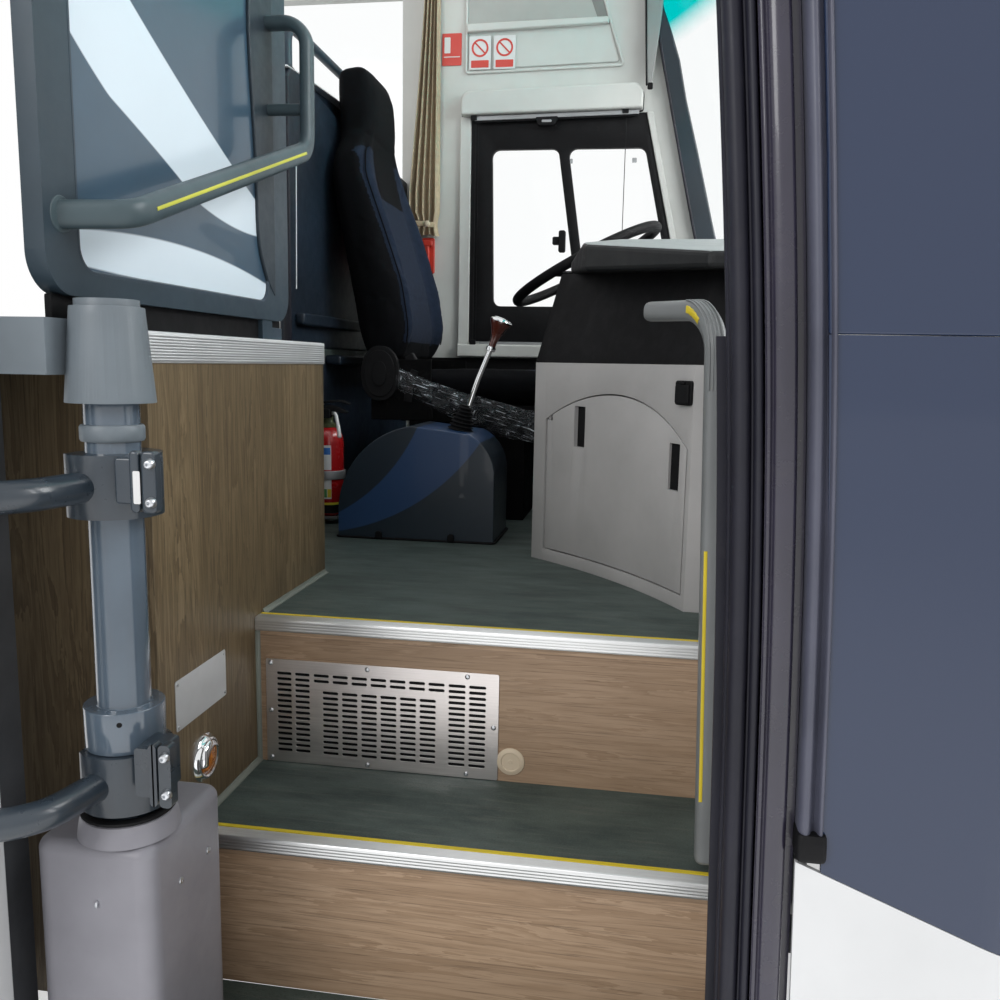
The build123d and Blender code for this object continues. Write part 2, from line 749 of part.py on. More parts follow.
def locker_cut(step):
    """Arched locker outline, carried through the hollow face."""
    left = locker_left + step
    right = locker_right - step
    low = locker_low_z + step
    edges = Line((left, low), (left, 840))
    edges += ThreePointArc((left, 840), (215, 900 - step), (right, 815))
    edges += Line((right, 815), (right, low))
    edges += Line((right, low), (left, low))
    face = chord_plane() * make_face(edges)
    return extrude(face, 60, both=True)


def hinge_spot():
    """Locker's hinge line in plan, in the middle of the hollow face's wall."""
    curve = ThreePointArc(dash_b, dash_m, dash_a)
    place = (locker_left + locker_gap + hinge_in) / curve.length
    along = curve.tangent_at(place)
    return curve.position_at(place) + Vector(-along.Y, along.X, 0) * (dash_t / 2)


def hinge_rod(radius, z0, z1):
    """Round bar on the locker's hinge line."""
    spot = hinge_spot()
    return rod((spot.X, spot.Y, z0), (spot.X, spot.Y, z1), radius)


def dash_lower():
    """White moulded lower shell with the arched locker opening and its hinge pin."""
    z0 = platform_z + 0.3
    outer = extrude(Pos(0, 0, z0) * dash_plan(0), dash_split_z - z0)
    inner = extrude(Pos(0, 0, z0 - 1) * dash_plan(dash_t), dash_split_z - z0 + 2)
    return outer - inner - locker_cut(0) + hinge_rod(hinge_r, locker_low_z - 15, 862)


def locker_door():
    """Curved locker door cut from the same face, with two finger recesses."""
    z0 = platform_z + 0.3
    outer = extrude(Pos(0, 0, z0) * dash_plan(0), dash_split_z - z0)
    inner = extrude(Pos(0, 0, z0) * dash_plan(dash_t), dash_split_z - z0)
    door = (outer - inner) & locker_cut(locker_gap)
    plane = chord_plane()
    spot = plane.to_local_coords(Vector(hinge_spot().X, hinge_spot().Y, 0))
    door -= plane * Pos(spot.X - 50, 700, 0) * Box(100, 500, 200)
    door -= plane * Pos(spot.X + 3, locker_shoulder_z + 50, spot.Z) * Box(22, 100, 60)
    door += hinge_rod(dash_t / 2, locker_low_z + locker_gap, locker_shoulder_z)
    door -= hinge_rod(hinge_r + pin_clear, locker_low_z - 20, 900)
    # columns: left edge along the chord, bottom
    for left, low in ((122, 788), (430, 738)):
        door -= plane * Pos(left + 18, low + 42, 0) * Box(34, 84, 200)
    return door


def inside_screen(step):
    """Space behind the windscreen's foot, to trim the dashboard's front."""
    y_r = right_skin_y - 10
    y_l = left_skin_y + 10
    edges = ThreePointArc((screen_x - step, y_r), (screen_mid_x - step, mid_y), (screen_left_x - step, y_l))
    edges += Line((screen_left_x - step, y_l), (-200, y_l))
    edges += Line((-200, y_l), (-200, y_r))
    edges += Line((-200, y_r), (screen_x - step, y_r))
    return extrude(Pos(0, 0, platform_z) * make_face(edges), 900, dir=(0, 0, 1))


def cowl_span(grow, y0, low):
    """The part of the upper shell that spans the driver's footwell."""
    foot_x = span_top_x - span_slope * (dash_top_z - low)
    outline = [(foot_x - grow, low - grow), (dash_front_x, low - grow), (dash_front_x, dash_top_z),
               (span_top_x - grow, dash_top_z)]
    return profile_y(outline, y0, left_wall_y - 8)


def dash_cowl():
    """Black upper shell that tapers in above the lower one and spans the driver's footwell."""
    z0 = dash_split_z + 0.5
    shell = loft([Pos(0, 0, z0) * dash_plan(0), Pos(0, 0, dash_top_z) * dash_plan(cowl_lean)], ruled=True)
    shell += cowl_span(0, dash_c[1] - cowl_lean - 20, z0)
    shell += cowl_span(0, dash_c[1] + 0.5, dash_split_z - 60)
    under = [(500, 800), (500, pad_under(500)), (pad_level_y, dash_top_z), (2400, dash_top_z), (2400, 800)]
    return shell & inside_screen(72) & profile_x(under, -200, 900)


def pad_under(y):
    """Height of the pad's underside, which falls towards the door."""
    slope = (dash_top_z - pad_door_z) / (pad_level_y - pad_door_y)
    return dash_top_z - slope * (pad_level_y - y)


def dash_pad():
    """Padded top over the upper shell, domed towards its middle."""
    plan = [(345, pad_door_y), (130, 880), (85, pad_level_y), (120, 1420), (262, 1420), (262, left_wall_y - 8),
            (740, left_wall_y - 8), (740, pad_door_y)]
    across = [(500, pad_under(500) + 0.3), (pad_level_y, dash_top_z + 0.3), (2400, dash_top_z + 0.3), (2400, 1190),
              (1480, pad_top_z), (pad_level_y, pad_top_z), (pad_door_y, pad_door_z + 29), (500, pad_under(500) + 20)]
    along = [(60, 1000), (60, 1168), (190, pad_top_z), (900, pad_top_z), (900, 1000)]
    pad = prism(plan, 1000, 1300) & inside_screen(94)
    return pad & profile_x(across, 0, 900) & profile_y(along, 500, 2400)


def steering_axis():
    """Unit vector up the steering column, towards the driver."""
    tilt = math.radians(wheel_tilt)
    return Vector(-math.sin(tilt), 0, math.cos(tilt))


def steering_column():
    """Column shroud from the dashboard to the wheel, with a bearing pin."""
    axis = steering_axis()
    hub = Vector(wheel_x, wheel_y, wheel_z)
    top = hub - axis * 60
    foot = hub - axis * column_len
    shroud = Plane(origin=foot, z_dir=axis) * Cone(45, 55, column_len - 60, align=(Align.CENTER, Align.CENTER, Align.MIN))
    pin = Plane(origin=top, z_dir=axis) * Cylinder(10, 52, align=(Align.CENTER, Align.CENTER, Align.MIN))
    return shroud + pin - cowl_span(0.3, dash_c[1], dash_split_z - 60)


def steering_wheel():
    """Rim, four spokes and a hub bored for the column."""
    plane = Plane(origin=(wheel_x, wheel_y, wheel_z), z_dir=steering_axis(), x_dir=(0, 1, 0))
    rim = Torus(wheel_r - rim_r, rim_r)
    hub = Pos(0, 0, -25) * Cylinder(48, 50) - Pos(0, 0, -45) * Cylinder(10 + pin_clear, 90)
    wheel = rim + hub
    for angle in (25, 155, 205, 335):
        wheel += Rot(0, 0, angle) * Pos((wheel_r - rim_r + 40) / 2, 0, -8) * Box(wheel_r - rim_r - 40, 26, 12)
    return plane * wheel


def front_grip():
    """Moulded handrail: an upright at the steps that bends over at the top."""
    y = 280.0
    bar = bent_bar([(358, y, 292), (334, y, 1027), (257, 400, 1031)], [55], 14.5)
    ear = slab(356, side_x - 0.3, y - 14, y + 14, 302, 352)
    return bar + ear + slab(338, side_x - 0.3, y - 14, y + 14, 880, 920)


def jamb_wall():
    """Trim wall at the front side of the stairwell."""
    wall = slab(side_x, side_x + 14, half_rail + 1, dash_a[1] - 1, entrance_z + 0.5, dash_split_z)
    ledge = slab(side_x, 520, half_rail + 1, dash_a[1] - 1, dash_split_z, dash_split_z + 20)
    return wall + ledge


def door_header():
    """Panel above the doorway."""
    band = jamb_band(-1200, 27.7, right_skin_y, wall_in_y, door_head_z + 0.3, top_z)
    return band & slab(door_rear_x + 0.3, 400, right_skin_y, wall_in_y, 0, top_z)


def jamb_seal():
    """Rubber door seal on the front edge of the doorway."""
    back_y = -half_rail - 0.5
    z0 = entrance_z
    z1 = door_head_z
    return jamb_band(8, 11.5, back_y, half_rail - 2, z0, z1) + jamb_band(-1, 27, right_skin_y + 6, back_y, z0, z1)


def pillar_cover():
    """Dark cover on the front door post, outer side, with a groove and a weather strip."""
    y1 = -half_rail - 0.5
    cover = jamb_band(28, 56, right_skin_y + 2, y1, skin_low_z, top_z)
    cover += jamb_band(64, 88, right_skin_y - 3, y1, 525, top_z)
    return cover + jamb_band(48, 66, right_skin_y + 20, y1, skin_low_z, top_z)


def door_axis_points():
    """Leaf pivot at rest, from where the leaf lies closed and how far it shifts."""
    closed_y = right_skin_y + leaf_t + bracket_gap
    v_y = closed_y - column_y
    length = shift_x ** 2 + shift_y ** 2
    v_x = (length / 2 - v_y * shift_y) / shift_x
    closed = (column_x + v_x, closed_y)
    opened = (closed[0] - shift_x, closed[1] - shift_y)
    return closed, opened


def door_column():
    """Turning tube with its lower sleeve and base ring."""
    z0 = drive_top_z + run_clear
    tube = rod((column_x, column_y, z0), (column_x, column_y, column_top_z), column_r)
    low, high = arm_heights
    tube += rod((column_x, column_y, z0), (column_x, column_y, z0 + 14), clamp_r)
    tube += rod((column_x, column_y, low + clamp_h / 2 + 0.5), (column_x, column_y, low + clamp_h / 2 + 50), 45)
    return tube


def door_arm(z):
    """Split clamp, bent arm and eye at one height."""
    closed, opened = door_axis_points()
    clamp = Pos(column_x, column_y, z) * Cylinder(clamp_r, clamp_h)
    clamp -= slab(column_x - 60, column_x - 36, column_y - 60, column_y + 60, z - 50, z + 50)
    elbow = (column_x + elbow_x, column_y + elbow_y, z)
    start = (column_x + elbow_x * 0.25, column_y + elbow_y * 0.25, z)
    arm = bent_bar([start, elbow, (opened[0], opened[1], z)], [70], arm_r)
    eye = Pos(opened[0], opened[1], z) * Cylinder(eye_r + 4, 40)
    whole = clamp + arm + eye
    whole -= Pos(column_x, column_y, z) * Cylinder(column_r + 0.05, clamp_h + 2)
    return whole - Pos(opened[0], opened[1], z) * Cylinder(pin_r + pin_clear, 60)


def leaf_span():
    """The leaf's two edges at rest, and its outer and inner faces."""
    x0 = door_rear_x + door_gap - shift_x
    x1 = jamb_x(0) - shift_x
    y_out = right_skin_y - shift_y
    return x0, x1, y_out, y_out + leaf_t


def leaf_frame():
    """Leaf shell with a window above a panel, and the pivot brackets inside."""
    x0, x1, y0, y1 = leaf_span()
    z0 = leaf_bottom_z
    z1 = door_head_z - door_gap
    rest = Pos(-shift_x, 0, 0)
    leaf = slab(x0, x1, y0, y1, z0, z1) & (rest * jamb_band(-1200, -door_gap - 2, y0, y1, z0, z1))
    front = rest * jamb_band(-1200, -door_gap - 2 - leaf_border, y0 - 1, y1 + 1, z0, z1)
    leaf -= front & slab(x0 + leaf_border, x1, y0 - 1, y1 + 1, leaf_waist_z, z1 - leaf_border)
    leaf -= front & slab(x0 + leaf_border, x1, y0 + 12, y1 + 1, z0 + leaf_border, leaf_waist_z - leaf_border)
    closed, opened = door_axis_points()
    px, py = opened
    for z in arm_heights:
        for side in (-1, 1):
            ear_z = z + side * 27
            leaf += slab(px - 22, px + 22, y0 + 10, py, ear_z - 5, ear_z + 5)
            leaf += Pos(px, py, ear_z) * Cylinder(20, 10)
        leaf += rod((px, py, z - 30), (px, py, z + 30), pin_r)
    leaf += slab(px - 45, px + 45, y0 + 8, y0 + 20, z0 + 20, leaf_waist_z)
    return leaf


def leaf_glass():
    """Glass of the leaf."""
    x0, x1, y0, y1 = leaf_span()
    z1 = door_head_z - door_gap
    step = leaf_border + 0.3
    glass = slab(x0 + step, x1, y0 + 14, y0 + 14 + glass_t, leaf_waist_z + 0.3, z1 - step)
    return glass & (Pos(-shift_x, 0, 0) * jamb_band(-1200, -door_gap - 2 - step, y0, y1, 0, z1))


def column_top_cover():
    """Tapered cover of the top bearing, with its bracket to the rear post."""
    z0 = column_top_z - 95
    cover = Pos(column_x, column_y, z0) * Cone(48, 39, 104, align=(Align.CENTER, Align.CENTER, Align.MIN))
    cover += rod((column_x, column_y, z0 + 90), (column_x, column_y, z0 + 112), 34)
    cover -= rod((column_x, column_y, z0 - 1), (column_x, column_y, column_top_z + run_clear), column_r + run_clear)
    return cover + slab(door_rear_x - 8 + 0.2, column_x - 35, -20, 20, z0 + 30, z0 + 90)


def drive_cover():
    """Moulded cover over the door drive."""
    box = slab(drive_rear_x, drive_front_x, drive_near_y, drive_far_y, entrance_z + 0.3, drive_top_z)
    box = fillet(box.edges().filter_by(Axis.Z), 22)
    return fillet(box.edges().group_by(Axis.Z)[-1], 14)


def shade_housing():
    """Roller blind case over the window, with rounded ends."""
    case = slab(-422, 214, left_wall_y - 48, left_wall_y - 0.3, 1815, 1905)
    return fillet(case.edges().filter_by(Axis.Y), 26)


def curtain():
    """Gathered curtain, plain closed solid that narrows upwards."""
    outline = [(-606, 1405), (-496, 1405), (-496, 2250), (-545, 2250)]
    return profile_y(outline, left_wall_y - 76, left_wall_y - 0.3)


def wall_hammer():
    """Emergency hammer in its holder."""
    return slab(-560, -505, left_wall_y - 40, left_wall_y - 0.3, 1270, 1400)


def step_lamps():
    """Hooded step lamps: one on the wood wall, one on the dashboard end."""
    lamps = []
    for x, y, z in ((wall_x, 291, 372), (side_x, dash_a[1] - 100, 668)):
        side = 1 if x < 0 else -1
        lamps.append(rod((x + side * 0.3, y, z), (x + side * 14, y, z), 36))
    return Compound(lamps)


def build():
    """Name every sub-part."""
    entrance, middle, platform = steps()
    lower, upper = risers()
    parts.update({
        "base_frame": base_frame(), "side_wall_right": right_wall(), "side_window_right": right_window(),
        "side_wall_left": left_wall(), "front_shell": front_shell(), "quarter_glass": quarter_glass(),
        "side_window_left": left_window(), "windscreen": windscreen(),
        "front_pillars": Compound([right_pillar(), left_pillar()]), "door_header": door_header(),
        "window_frame": window_frame(), "window_panes": window_panes(),
        "entrance_floor": entrance, "middle_tread": middle, "platform_floor": platform,
        "step_risers": Compound([lower, upper]),
        "step_nosings": Compound([nosing(lower_nosing_y, middle_z), nosing(upper_nosing_y, platform_z)]),
        "riser_grille": riser_grille(), "riser_plug": riser_plug(), "heater_case": heater_case(),
        "wood_wall": wood_wall(), "driver_bulkhead": bulkhead(), "deck_floor": deck_floor(),
        "deck_trim": deck_trim(), "aisle_steps": aisle_steps(),
        "partition_frame": partition_frame(), "partition_panel": partition_panel(),
        "partition_handrail": partition_grip(), "driver_guard": driver_guard(), "guard_rail": guard_rail(),
        "seat_pedestal": seat_pedestal(), "seat_pan": seat_pan(), "seat_cushion": seat_cushion(),
        "seat_back": seat_back(), "recliner_cover": recliner_cover(),
        "gear_cover": gear_cover(), "gear_lever": gear_lever(),
        "extinguisher": extinguisher(), "extinguisher_bracket": extinguisher_bracket(),
        "dash_lower": dash_lower(), "locker_door": locker_door(), "dash_cowl": dash_cowl(),
        "dash_pad": dash_pad(), "steering_column": steering_column(), "steering_wheel": steering_wheel(),
        "front_handrail": front_grip(), "jamb_wall": jamb_wall(), "jamb_seal": jamb_seal(),
        "pillar_cover": pillar_cover(),
        "door_column": door_column(), "door_arms": Compound([door_arm(z) for z in arm_heights]),
        "door_leaf": leaf_frame(), "door_glass": leaf_glass(),
        "column_top_cover": column_top_cover(), "drive_cover": drive_cover(),
        "shade_housing": shade_housing(), "curtain": curtain(), "wall_hammer": wall_hammer(),
        "step_lamps": step_lamps(),
    })


os.makedirs("parts", exist_ok=True)
build()
for node, shape in parts.items():
    export_step(shape, "parts/" + node + ".step")
closed, opened = door_axis_points()
first = math.atan2(opened[1] - column_y, opened[0] - column_x)
last = math.atan2(closed[1] - column_y, closed[0] - column_x)
print(len(parts), "nodes; leaf pivot", opened, "; column turns", math.degrees(last - first), "degrees")
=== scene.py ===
# %% [markdown]
# This scene dresses the front entrance of a coach: the steps, the door column, the driver's
# place and the side window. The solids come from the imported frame, already at their real place,
# so the scene only loads them, gives them finishes and adds the pieces that carry the looks.

import bmesh
import bpy
import numpy as np
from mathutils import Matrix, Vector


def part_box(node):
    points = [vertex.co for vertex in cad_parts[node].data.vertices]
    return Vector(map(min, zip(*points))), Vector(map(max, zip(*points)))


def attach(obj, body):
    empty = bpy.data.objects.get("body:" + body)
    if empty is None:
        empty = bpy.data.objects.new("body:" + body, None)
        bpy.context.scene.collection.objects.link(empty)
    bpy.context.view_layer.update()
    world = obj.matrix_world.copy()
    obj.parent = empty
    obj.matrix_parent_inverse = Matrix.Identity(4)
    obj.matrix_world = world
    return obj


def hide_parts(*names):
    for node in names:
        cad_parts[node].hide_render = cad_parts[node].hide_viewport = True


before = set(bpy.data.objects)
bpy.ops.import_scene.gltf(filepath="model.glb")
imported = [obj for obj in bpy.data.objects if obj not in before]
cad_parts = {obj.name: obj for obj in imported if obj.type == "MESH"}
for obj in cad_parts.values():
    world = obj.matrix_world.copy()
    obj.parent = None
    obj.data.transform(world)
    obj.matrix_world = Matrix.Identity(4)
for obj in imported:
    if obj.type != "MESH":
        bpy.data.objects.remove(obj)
MM = 0.001
X, Y, UP = (1, 0, 0), (0, 1, 0), (0, 0, 1)
DOORWARD = (0, -1, 0)
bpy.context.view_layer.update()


def corners_of(node):
    """Low and high corner of a node's box, in millimetres."""
    return [np.array(corner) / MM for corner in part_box(node)]


# %% Heights and places that the later cells share, nearly all read from the frame
STAIR_X0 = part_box("wood_wall")[1].x
STAIR_X1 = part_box("jamb_wall")[0].x
ENTRANCE_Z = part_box("entrance_floor")[1].z
MIDDLE_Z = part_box("middle_tread")[1].z
PLATFORM_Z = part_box("platform_floor")[1].z
DECK_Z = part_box("deck_floor")[1].z
LOWER_NOSE_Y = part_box("step_nosings")[0].y
UPPER_NOSE_Y = 480 * MM
WOOD_Y0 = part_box("wood_wall")[0].y
WOOD_Y1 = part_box("wood_wall")[1].y
WINDOW_WALL_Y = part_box("side_wall_left")[0].y
WALL_MM, SIDE_MM = STAIR_X0 / MM, STAIR_X1 / MM
print("steps at", [round(z, 3) for z in (ENTRANCE_Z, MIDDLE_Z, PLATFORM_Z, DECK_Z)])

# %% [markdown]
# The camera stands outside the doorway, a little in front of its middle, and looks in and
# slightly down. Its place, angles and focal length were solved from the step edges and the
# upright edges of the picture, so one matrix holds them all: the three axes are built from
# yaw, pitch and roll.

# %% Camera
CAMERA_PLACE = np.array([244.43, -891.0, 955.89]) * MM
YAW, PITCH, ROLL = np.radians([8.817, 8.595, 1.111])
FOCAL_PIXELS = 902.4
PICTURE = 1000.0
CENTRE_COLUMN = 497.5
SENSOR = 36.0


def camera_axes():
    """Right, up and forward: yaw turns left of +Y, pitch tips down, roll turns about forward."""
    ahead = np.array([-np.sin(YAW), np.cos(YAW), 0.0])
    right = np.array([np.cos(YAW), np.sin(YAW), 0.0])
    forward = ahead * np.cos(PITCH) - np.array([0, 0, np.sin(PITCH)])
    up = ahead * np.sin(PITCH) + np.array([0, 0, np.cos(PITCH)])
    return (right * np.cos(ROLL) + up * np.sin(ROLL), up * np.cos(ROLL) - right * np.sin(ROLL), forward)


camera = bpy.data.objects.new("camera", bpy.data.cameras.new("camera"))
bpy.context.collection.objects.link(camera)
right, up, forward = camera_axes()
matrix = np.eye(4)
matrix[:3, 0], matrix[:3, 1], matrix[:3, 2], matrix[:3, 3] = right, up, -forward, CAMERA_PLACE
camera.matrix_world = matrix.T.tolist()
camera.data.sensor_width = SENSOR
camera.data.lens = SENSOR * FOCAL_PIXELS / PICTURE
camera.data.shift_x = (PICTURE / 2 - CENTRE_COLUMN) / PICTURE
camera.data.clip_start = 0.02
bpy.context.scene.camera = camera
print("camera lens", round(camera.data.lens, 2), "mm")

# %% [markdown]
# A grid of points is the base of nearly every new piece: rows run along the piece and columns
# run round or across it. One function turns such an array into a mesh, closes it where it
# wraps, caps tube ends, and hands it to the frame with its body and material.

# %% Mesh helpers
COLLECTION = bpy.context.collection
MERGE_REACH = 1e-6
SLIVER = 1e-7


def read(items, what, width=3, kind=float):
    """One attribute of every item of a mesh, as rows of the given width."""
    values = np.empty(len(items) * width, kind)
    items.foreach_get(what, values)
    return values.reshape(-1, width) if width > 1 else values


def grid_faces(rows, cols, wrap_rows=False, wrap_cols=False):
    """Four-cornered faces between neighbouring rows and columns of a grid."""
    r = np.arange(rows if wrap_rows else rows - 1)[:, None]
    c = np.arange(cols if wrap_cols else cols - 1)[None, :]
    r2, c2 = (r + 1) % rows, (c + 1) % cols
    quads = np.stack([r * cols + c, r * cols + c2, r2 * cols + c2, r2 * cols + c], -1)
    return quads.reshape(-1, 4).tolist()


def add_piece(name, points, faces, material, body="structure", slot=None, closed=True, sharp=35, replaces=()):
    """Mesh object from points and faces. Doubles are merged, and a closed one's faces turned out."""
    mesh = bpy.data.meshes.new(name)
    mesh.from_pydata(np.asarray(points, float).reshape(-1, 3).tolist(), [], faces)
    shape = bmesh.new()
    shape.from_mesh(mesh)
    bmesh.ops.remove_doubles(shape, verts=shape.verts, dist=MERGE_REACH)
    bmesh.ops.dissolve_degenerate(shape, edges=shape.edges, dist=SLIVER)
    if closed:
        bmesh.ops.recalc_face_normals(shape, faces=shape.faces)
    shape.to_mesh(mesh)
    shape.free()
    mesh.polygons.foreach_set("use_smooth", np.ones(len(mesh.polygons), bool))
    mesh.set_sharp_from_angle(angle=np.radians(sharp))
    piece = bpy.data.objects.new(name, mesh)
    COLLECTION.objects.link(piece)
    mesh.materials.append(material)
    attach(piece, body)
    if replaces:
        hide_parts(*replaces)
    return piece


def grid_piece(name, points, material, wrap_rows=False, wrap_cols=False, caps=False, **facts):
    """Piece from a grid of points, with caps on the first and last row if wanted."""
    rows, cols = points.shape[:2]
    faces = grid_faces(rows, cols, wrap_rows, wrap_cols)
    if caps:
        faces.append(list(range(cols)))
        faces.append(list(range((rows - 1) * cols, rows * cols)))
    return add_piece(name, points, faces, material, **facts)


def join_grids(grids):
    """Points and faces of several (points, faces) pairs as one pair."""
    points, faces, start = [], [], 0
    for part_points, part_faces in grids:
        flat = np.asarray(part_points, float).reshape(-1, 3)
        points.append(flat)
        faces += [[start + i for i in face] for face in part_faces]
        start += len(flat)
    return np.concatenate(points), faces


def bevel(piece, width, segments=3, angle=35):
    """Rounds the sharp edges of a piece by width millimetres."""
    finish = piece.modifiers.new("soft_edges", "BEVEL")
    finish.width = width * MM
    finish.segments = segments
    finish.limit_method = "ANGLE"
    finish.angle_limit = np.radians(angle)
    return piece


print("mesh helpers ready")

# %% [markdown]
# Three ways to make a shape cover most parts. A profile is carried along a path, as for rails,
# seals and trims (tube); a profile is turned round an axis, as for knobs, lamps and bottles
# (lathe); and a flat outline is given a thickness, as for covers (extrusion, or plates for several).

# %% Shapes from profiles
def unit(vector):
    """Vector of length one, for one vector or for rows of them."""
    return vector / np.linalg.norm(vector, axis=-1, keepdims=True)


def bent_path(corners, radii, steps=9):
    """Points along straight runs joined by arcs. At a corner with directions a and b the arc
    starts radius*tan(half the turn) before it and follows the circle that touches both runs."""
    corners = np.array(corners, float)
    runs = [corners[:1]]
    for i, radius in enumerate(radii, start=1):
        a, b = unit(corners[i] - corners[i - 1]), unit(corners[i + 1] - corners[i])
        turn = np.arccos(np.clip(a @ b, -1, 1))
        side = unit(b - a * (a @ b))
        start = corners[i] - a * radius * np.tan(turn / 2)
        t = np.linspace(0, turn, steps)[:, None]
        runs.append(start + radius * (a * np.sin(t) + side * (1 - np.cos(t))))
    runs.append(corners[-1:])
    return np.concatenate(runs) * MM


def path_frames(path, side):
    """Across and upward directions at each point of a path, from one side direction."""
    along = unit(np.gradient(path, axis=0))
    across = np.broadcast_to(np.array(side, float), path.shape)
    upward = unit(np.cross(across, along))
    return unit(np.cross(along, upward)), upward


def carried(path, profile, side, scale=None):
    """Grid: point i, j is path i plus profile j laid out on the across and upward directions,
    times scale i."""
    across, upward = path_frames(path, side)
    size = np.ones(len(path)) if scale is None else np.asarray(scale)
    profile = np.asarray(profile, float) * MM
    return (
        path[:, None]
        + size[:, None, None] * (
            profile[None, :, :1] * across[:, None] + profile[None, :, 1:] * upward[:, None]))


def round_ends(path, reach, steps=6):
    """Path with extra points past both ends, and the scale that closes a tube there: at angle a
    the point lies reach*sin(a) past the end and the scale is cos(a)."""
    a = np.linspace(0, np.pi / 2, steps + 1)[1:]
    first, last = unit(path[0] - path[1]), unit(path[-1] - path[-2])
    out = reach * MM * np.sin(a)[:, None]
    scale = np.concatenate([np.cos(a)[::-1], np.ones(len(path)), np.cos(a)])
    longer = np.concatenate([(path[0] + first * out)[::-1], path, path[-1] + last * out])
    return longer, np.clip(scale, 1e-3, 1)


def oval(width, height, power=2.0, count=28):
    """Closed superellipse: |x/a|^power + |y/b|^power = 1, by angle."""
    t = np.linspace(0, 2 * np.pi, count, endpoint=False)
    bend = 2 / power
    x = width / 2 * np.sign(np.cos(t)) * np.abs(np.cos(t)) ** bend
    y = height / 2 * np.sign(np.sin(t)) * np.abs(np.sin(t)) ** bend
    return np.stack([x, y], -1)


def turned(profile, origin, axis, count=32):
    """Grid of a profile of radius and height, turned round an axis from an origin."""
    profile = np.asarray(profile, float) * MM
    axis = unit(np.array(axis, float))
    helper = np.array([1.0, 0, 0]) if abs(axis[0]) < 0.9 else np.array([0, 1.0, 0])
    a = unit(np.cross(axis, helper))
    b = np.cross(axis, a)
    t = np.linspace(0, 2 * np.pi, count, endpoint=False)[None, :, None]
    ring = np.cos(t) * a + np.sin(t) * b
    return np.array(origin, float) * MM + profile[:, None, :1] * ring + profile[:, None, 1:] * axis


def slab(outline, origin, thickness, x_dir=X, y_dir=UP):
    """Points and faces of a flat closed outline given a thickness along x_dir cross y_dir."""
    outline = np.asarray(outline, float) * MM
    x_dir, y_dir = unit(np.array(x_dir, float)), unit(np.array(y_dir, float))
    front = np.array(origin, float) * MM + outline[:, :1] * x_dir + outline[:, 1:] * y_dir
    back = front - np.cross(x_dir, y_dir) * thickness * MM
    n = len(outline)
    faces = grid_faces(2, n, wrap_cols=True) + [list(range(n)), list(range(n, 2 * n))]
    return np.stack([front, back]), faces


def box(x0, x1, y0, y1, radii, steps=6):
    """Outline of a rectangle with corner radii from the low left corner, anticlockwise."""
    if np.isscalar(radii):
        radii = (radii,) * 4
    t = np.linspace(0, np.pi / 2, steps)
    places = (
        (x0, y0, 1, 1, np.pi), (x1, y0, -1, 1, 1.5 * np.pi), (x1, y1, -1, -1, 0), (x0, y1, 1, -1, np.pi / 2))
    corners = [
        np.stack([x + sx * r + r * np.cos(t + a), y + sy * r + r * np.sin(t + a)], -1)
        for (x, y, sx, sy, a), r in zip(places, radii)]
    return np.concatenate(corners)


def tube(name, path, profile, side, material, scale=None, **facts):
    """Piece from a section carried along a path, capped at both ends."""
    return grid_piece(name, carried(path, profile, side, scale), material, wrap_cols=True, caps=True, **facts)


def lathe(name, profile, origin, axis, count, material, **facts):
    """Piece from a profile of radius and height turned round an axis."""
    return grid_piece(name, turned(profile, origin, axis, count), material, wrap_cols=True, **facts)


def plates(name, solids, material, soften=0.0, **facts):
    """Several outline solids as one piece, with edges softened by so many millimetres."""
    piece = add_piece(name, *join_grids(solids), material, **facts)
    return bevel(piece, soften) if soften else piece


def extrusion(name, section, origin, length, material, soften=0.0, x_dir=X, y_dir=UP, **facts):
    """Section in millimetres pushed along x_dir cross y_dir, backwards by its length."""
    return plates(name, [slab(section, origin, length, x_dir, y_dir)], material, soften, **facts)


print("profile helpers ready")

# %% [markdown]
# Every finish is a small node tree on Object coordinates, in metres, so that grain and mottling
# keep their real size and stay put when a piece moves with its body. A plain moulded or painted
# surface gets three things: a slow drift of its colour, a roughness that varies with it, and a
# fine bump. Numbers that are the same all over sit on the shader's own sockets. Helpers that get
# a socket find their node tree from it.

# %% Material helpers
SOCKET_NAMES = {"specular": "Specular IOR Level"}


def new_material(name, colour, rough=0.5, metallic=0.0, coat=0.0, slot=None, **sockets):
    """Material with a Principled shader; sockets are named with underscores for spaces."""
    material = bpy.data.materials.new(name)
    material.use_nodes = True
    tree = material.node_tree
    shader = tree.nodes["Principled BSDF"]
    values = {"Base Color": (*colour, 1.0), "Roughness": rough, "Metallic": metallic, "Coat Weight": coat}
    values.update({SOCKET_NAMES.get(key, key.replace("_", " ")): value for key, value in sockets.items()})
    for key, value in values.items():
        shader.inputs[key].default_value = value
    material.diffuse_color = (*colour, 1.0)
    return material, tree, shader


def add(tree, kind, inputs=None, **settings):
    """New node with its settings, its inputs linked or set, by name or number."""
    node = tree.nodes.new(kind)
    for key, value in settings.items():
        setattr(node, key, value)
    for key, value in (inputs or {}).items():
        if isinstance(value, bpy.types.NodeSocket):
            tree.links.new(value, node.inputs[key])
        else:
            node.inputs[key].default_value = value
    return node


def place(tree, scale=(1, 1, 1), turn=(0, 0, 0)):
    """Object coordinates, scaled and turned."""
    coords = add(tree, "ShaderNodeTexCoord").outputs["Object"]
    return add(tree, "ShaderNodeMapping", {"Vector": coords, "Scale": scale, "Rotation": turn}).outputs[0]


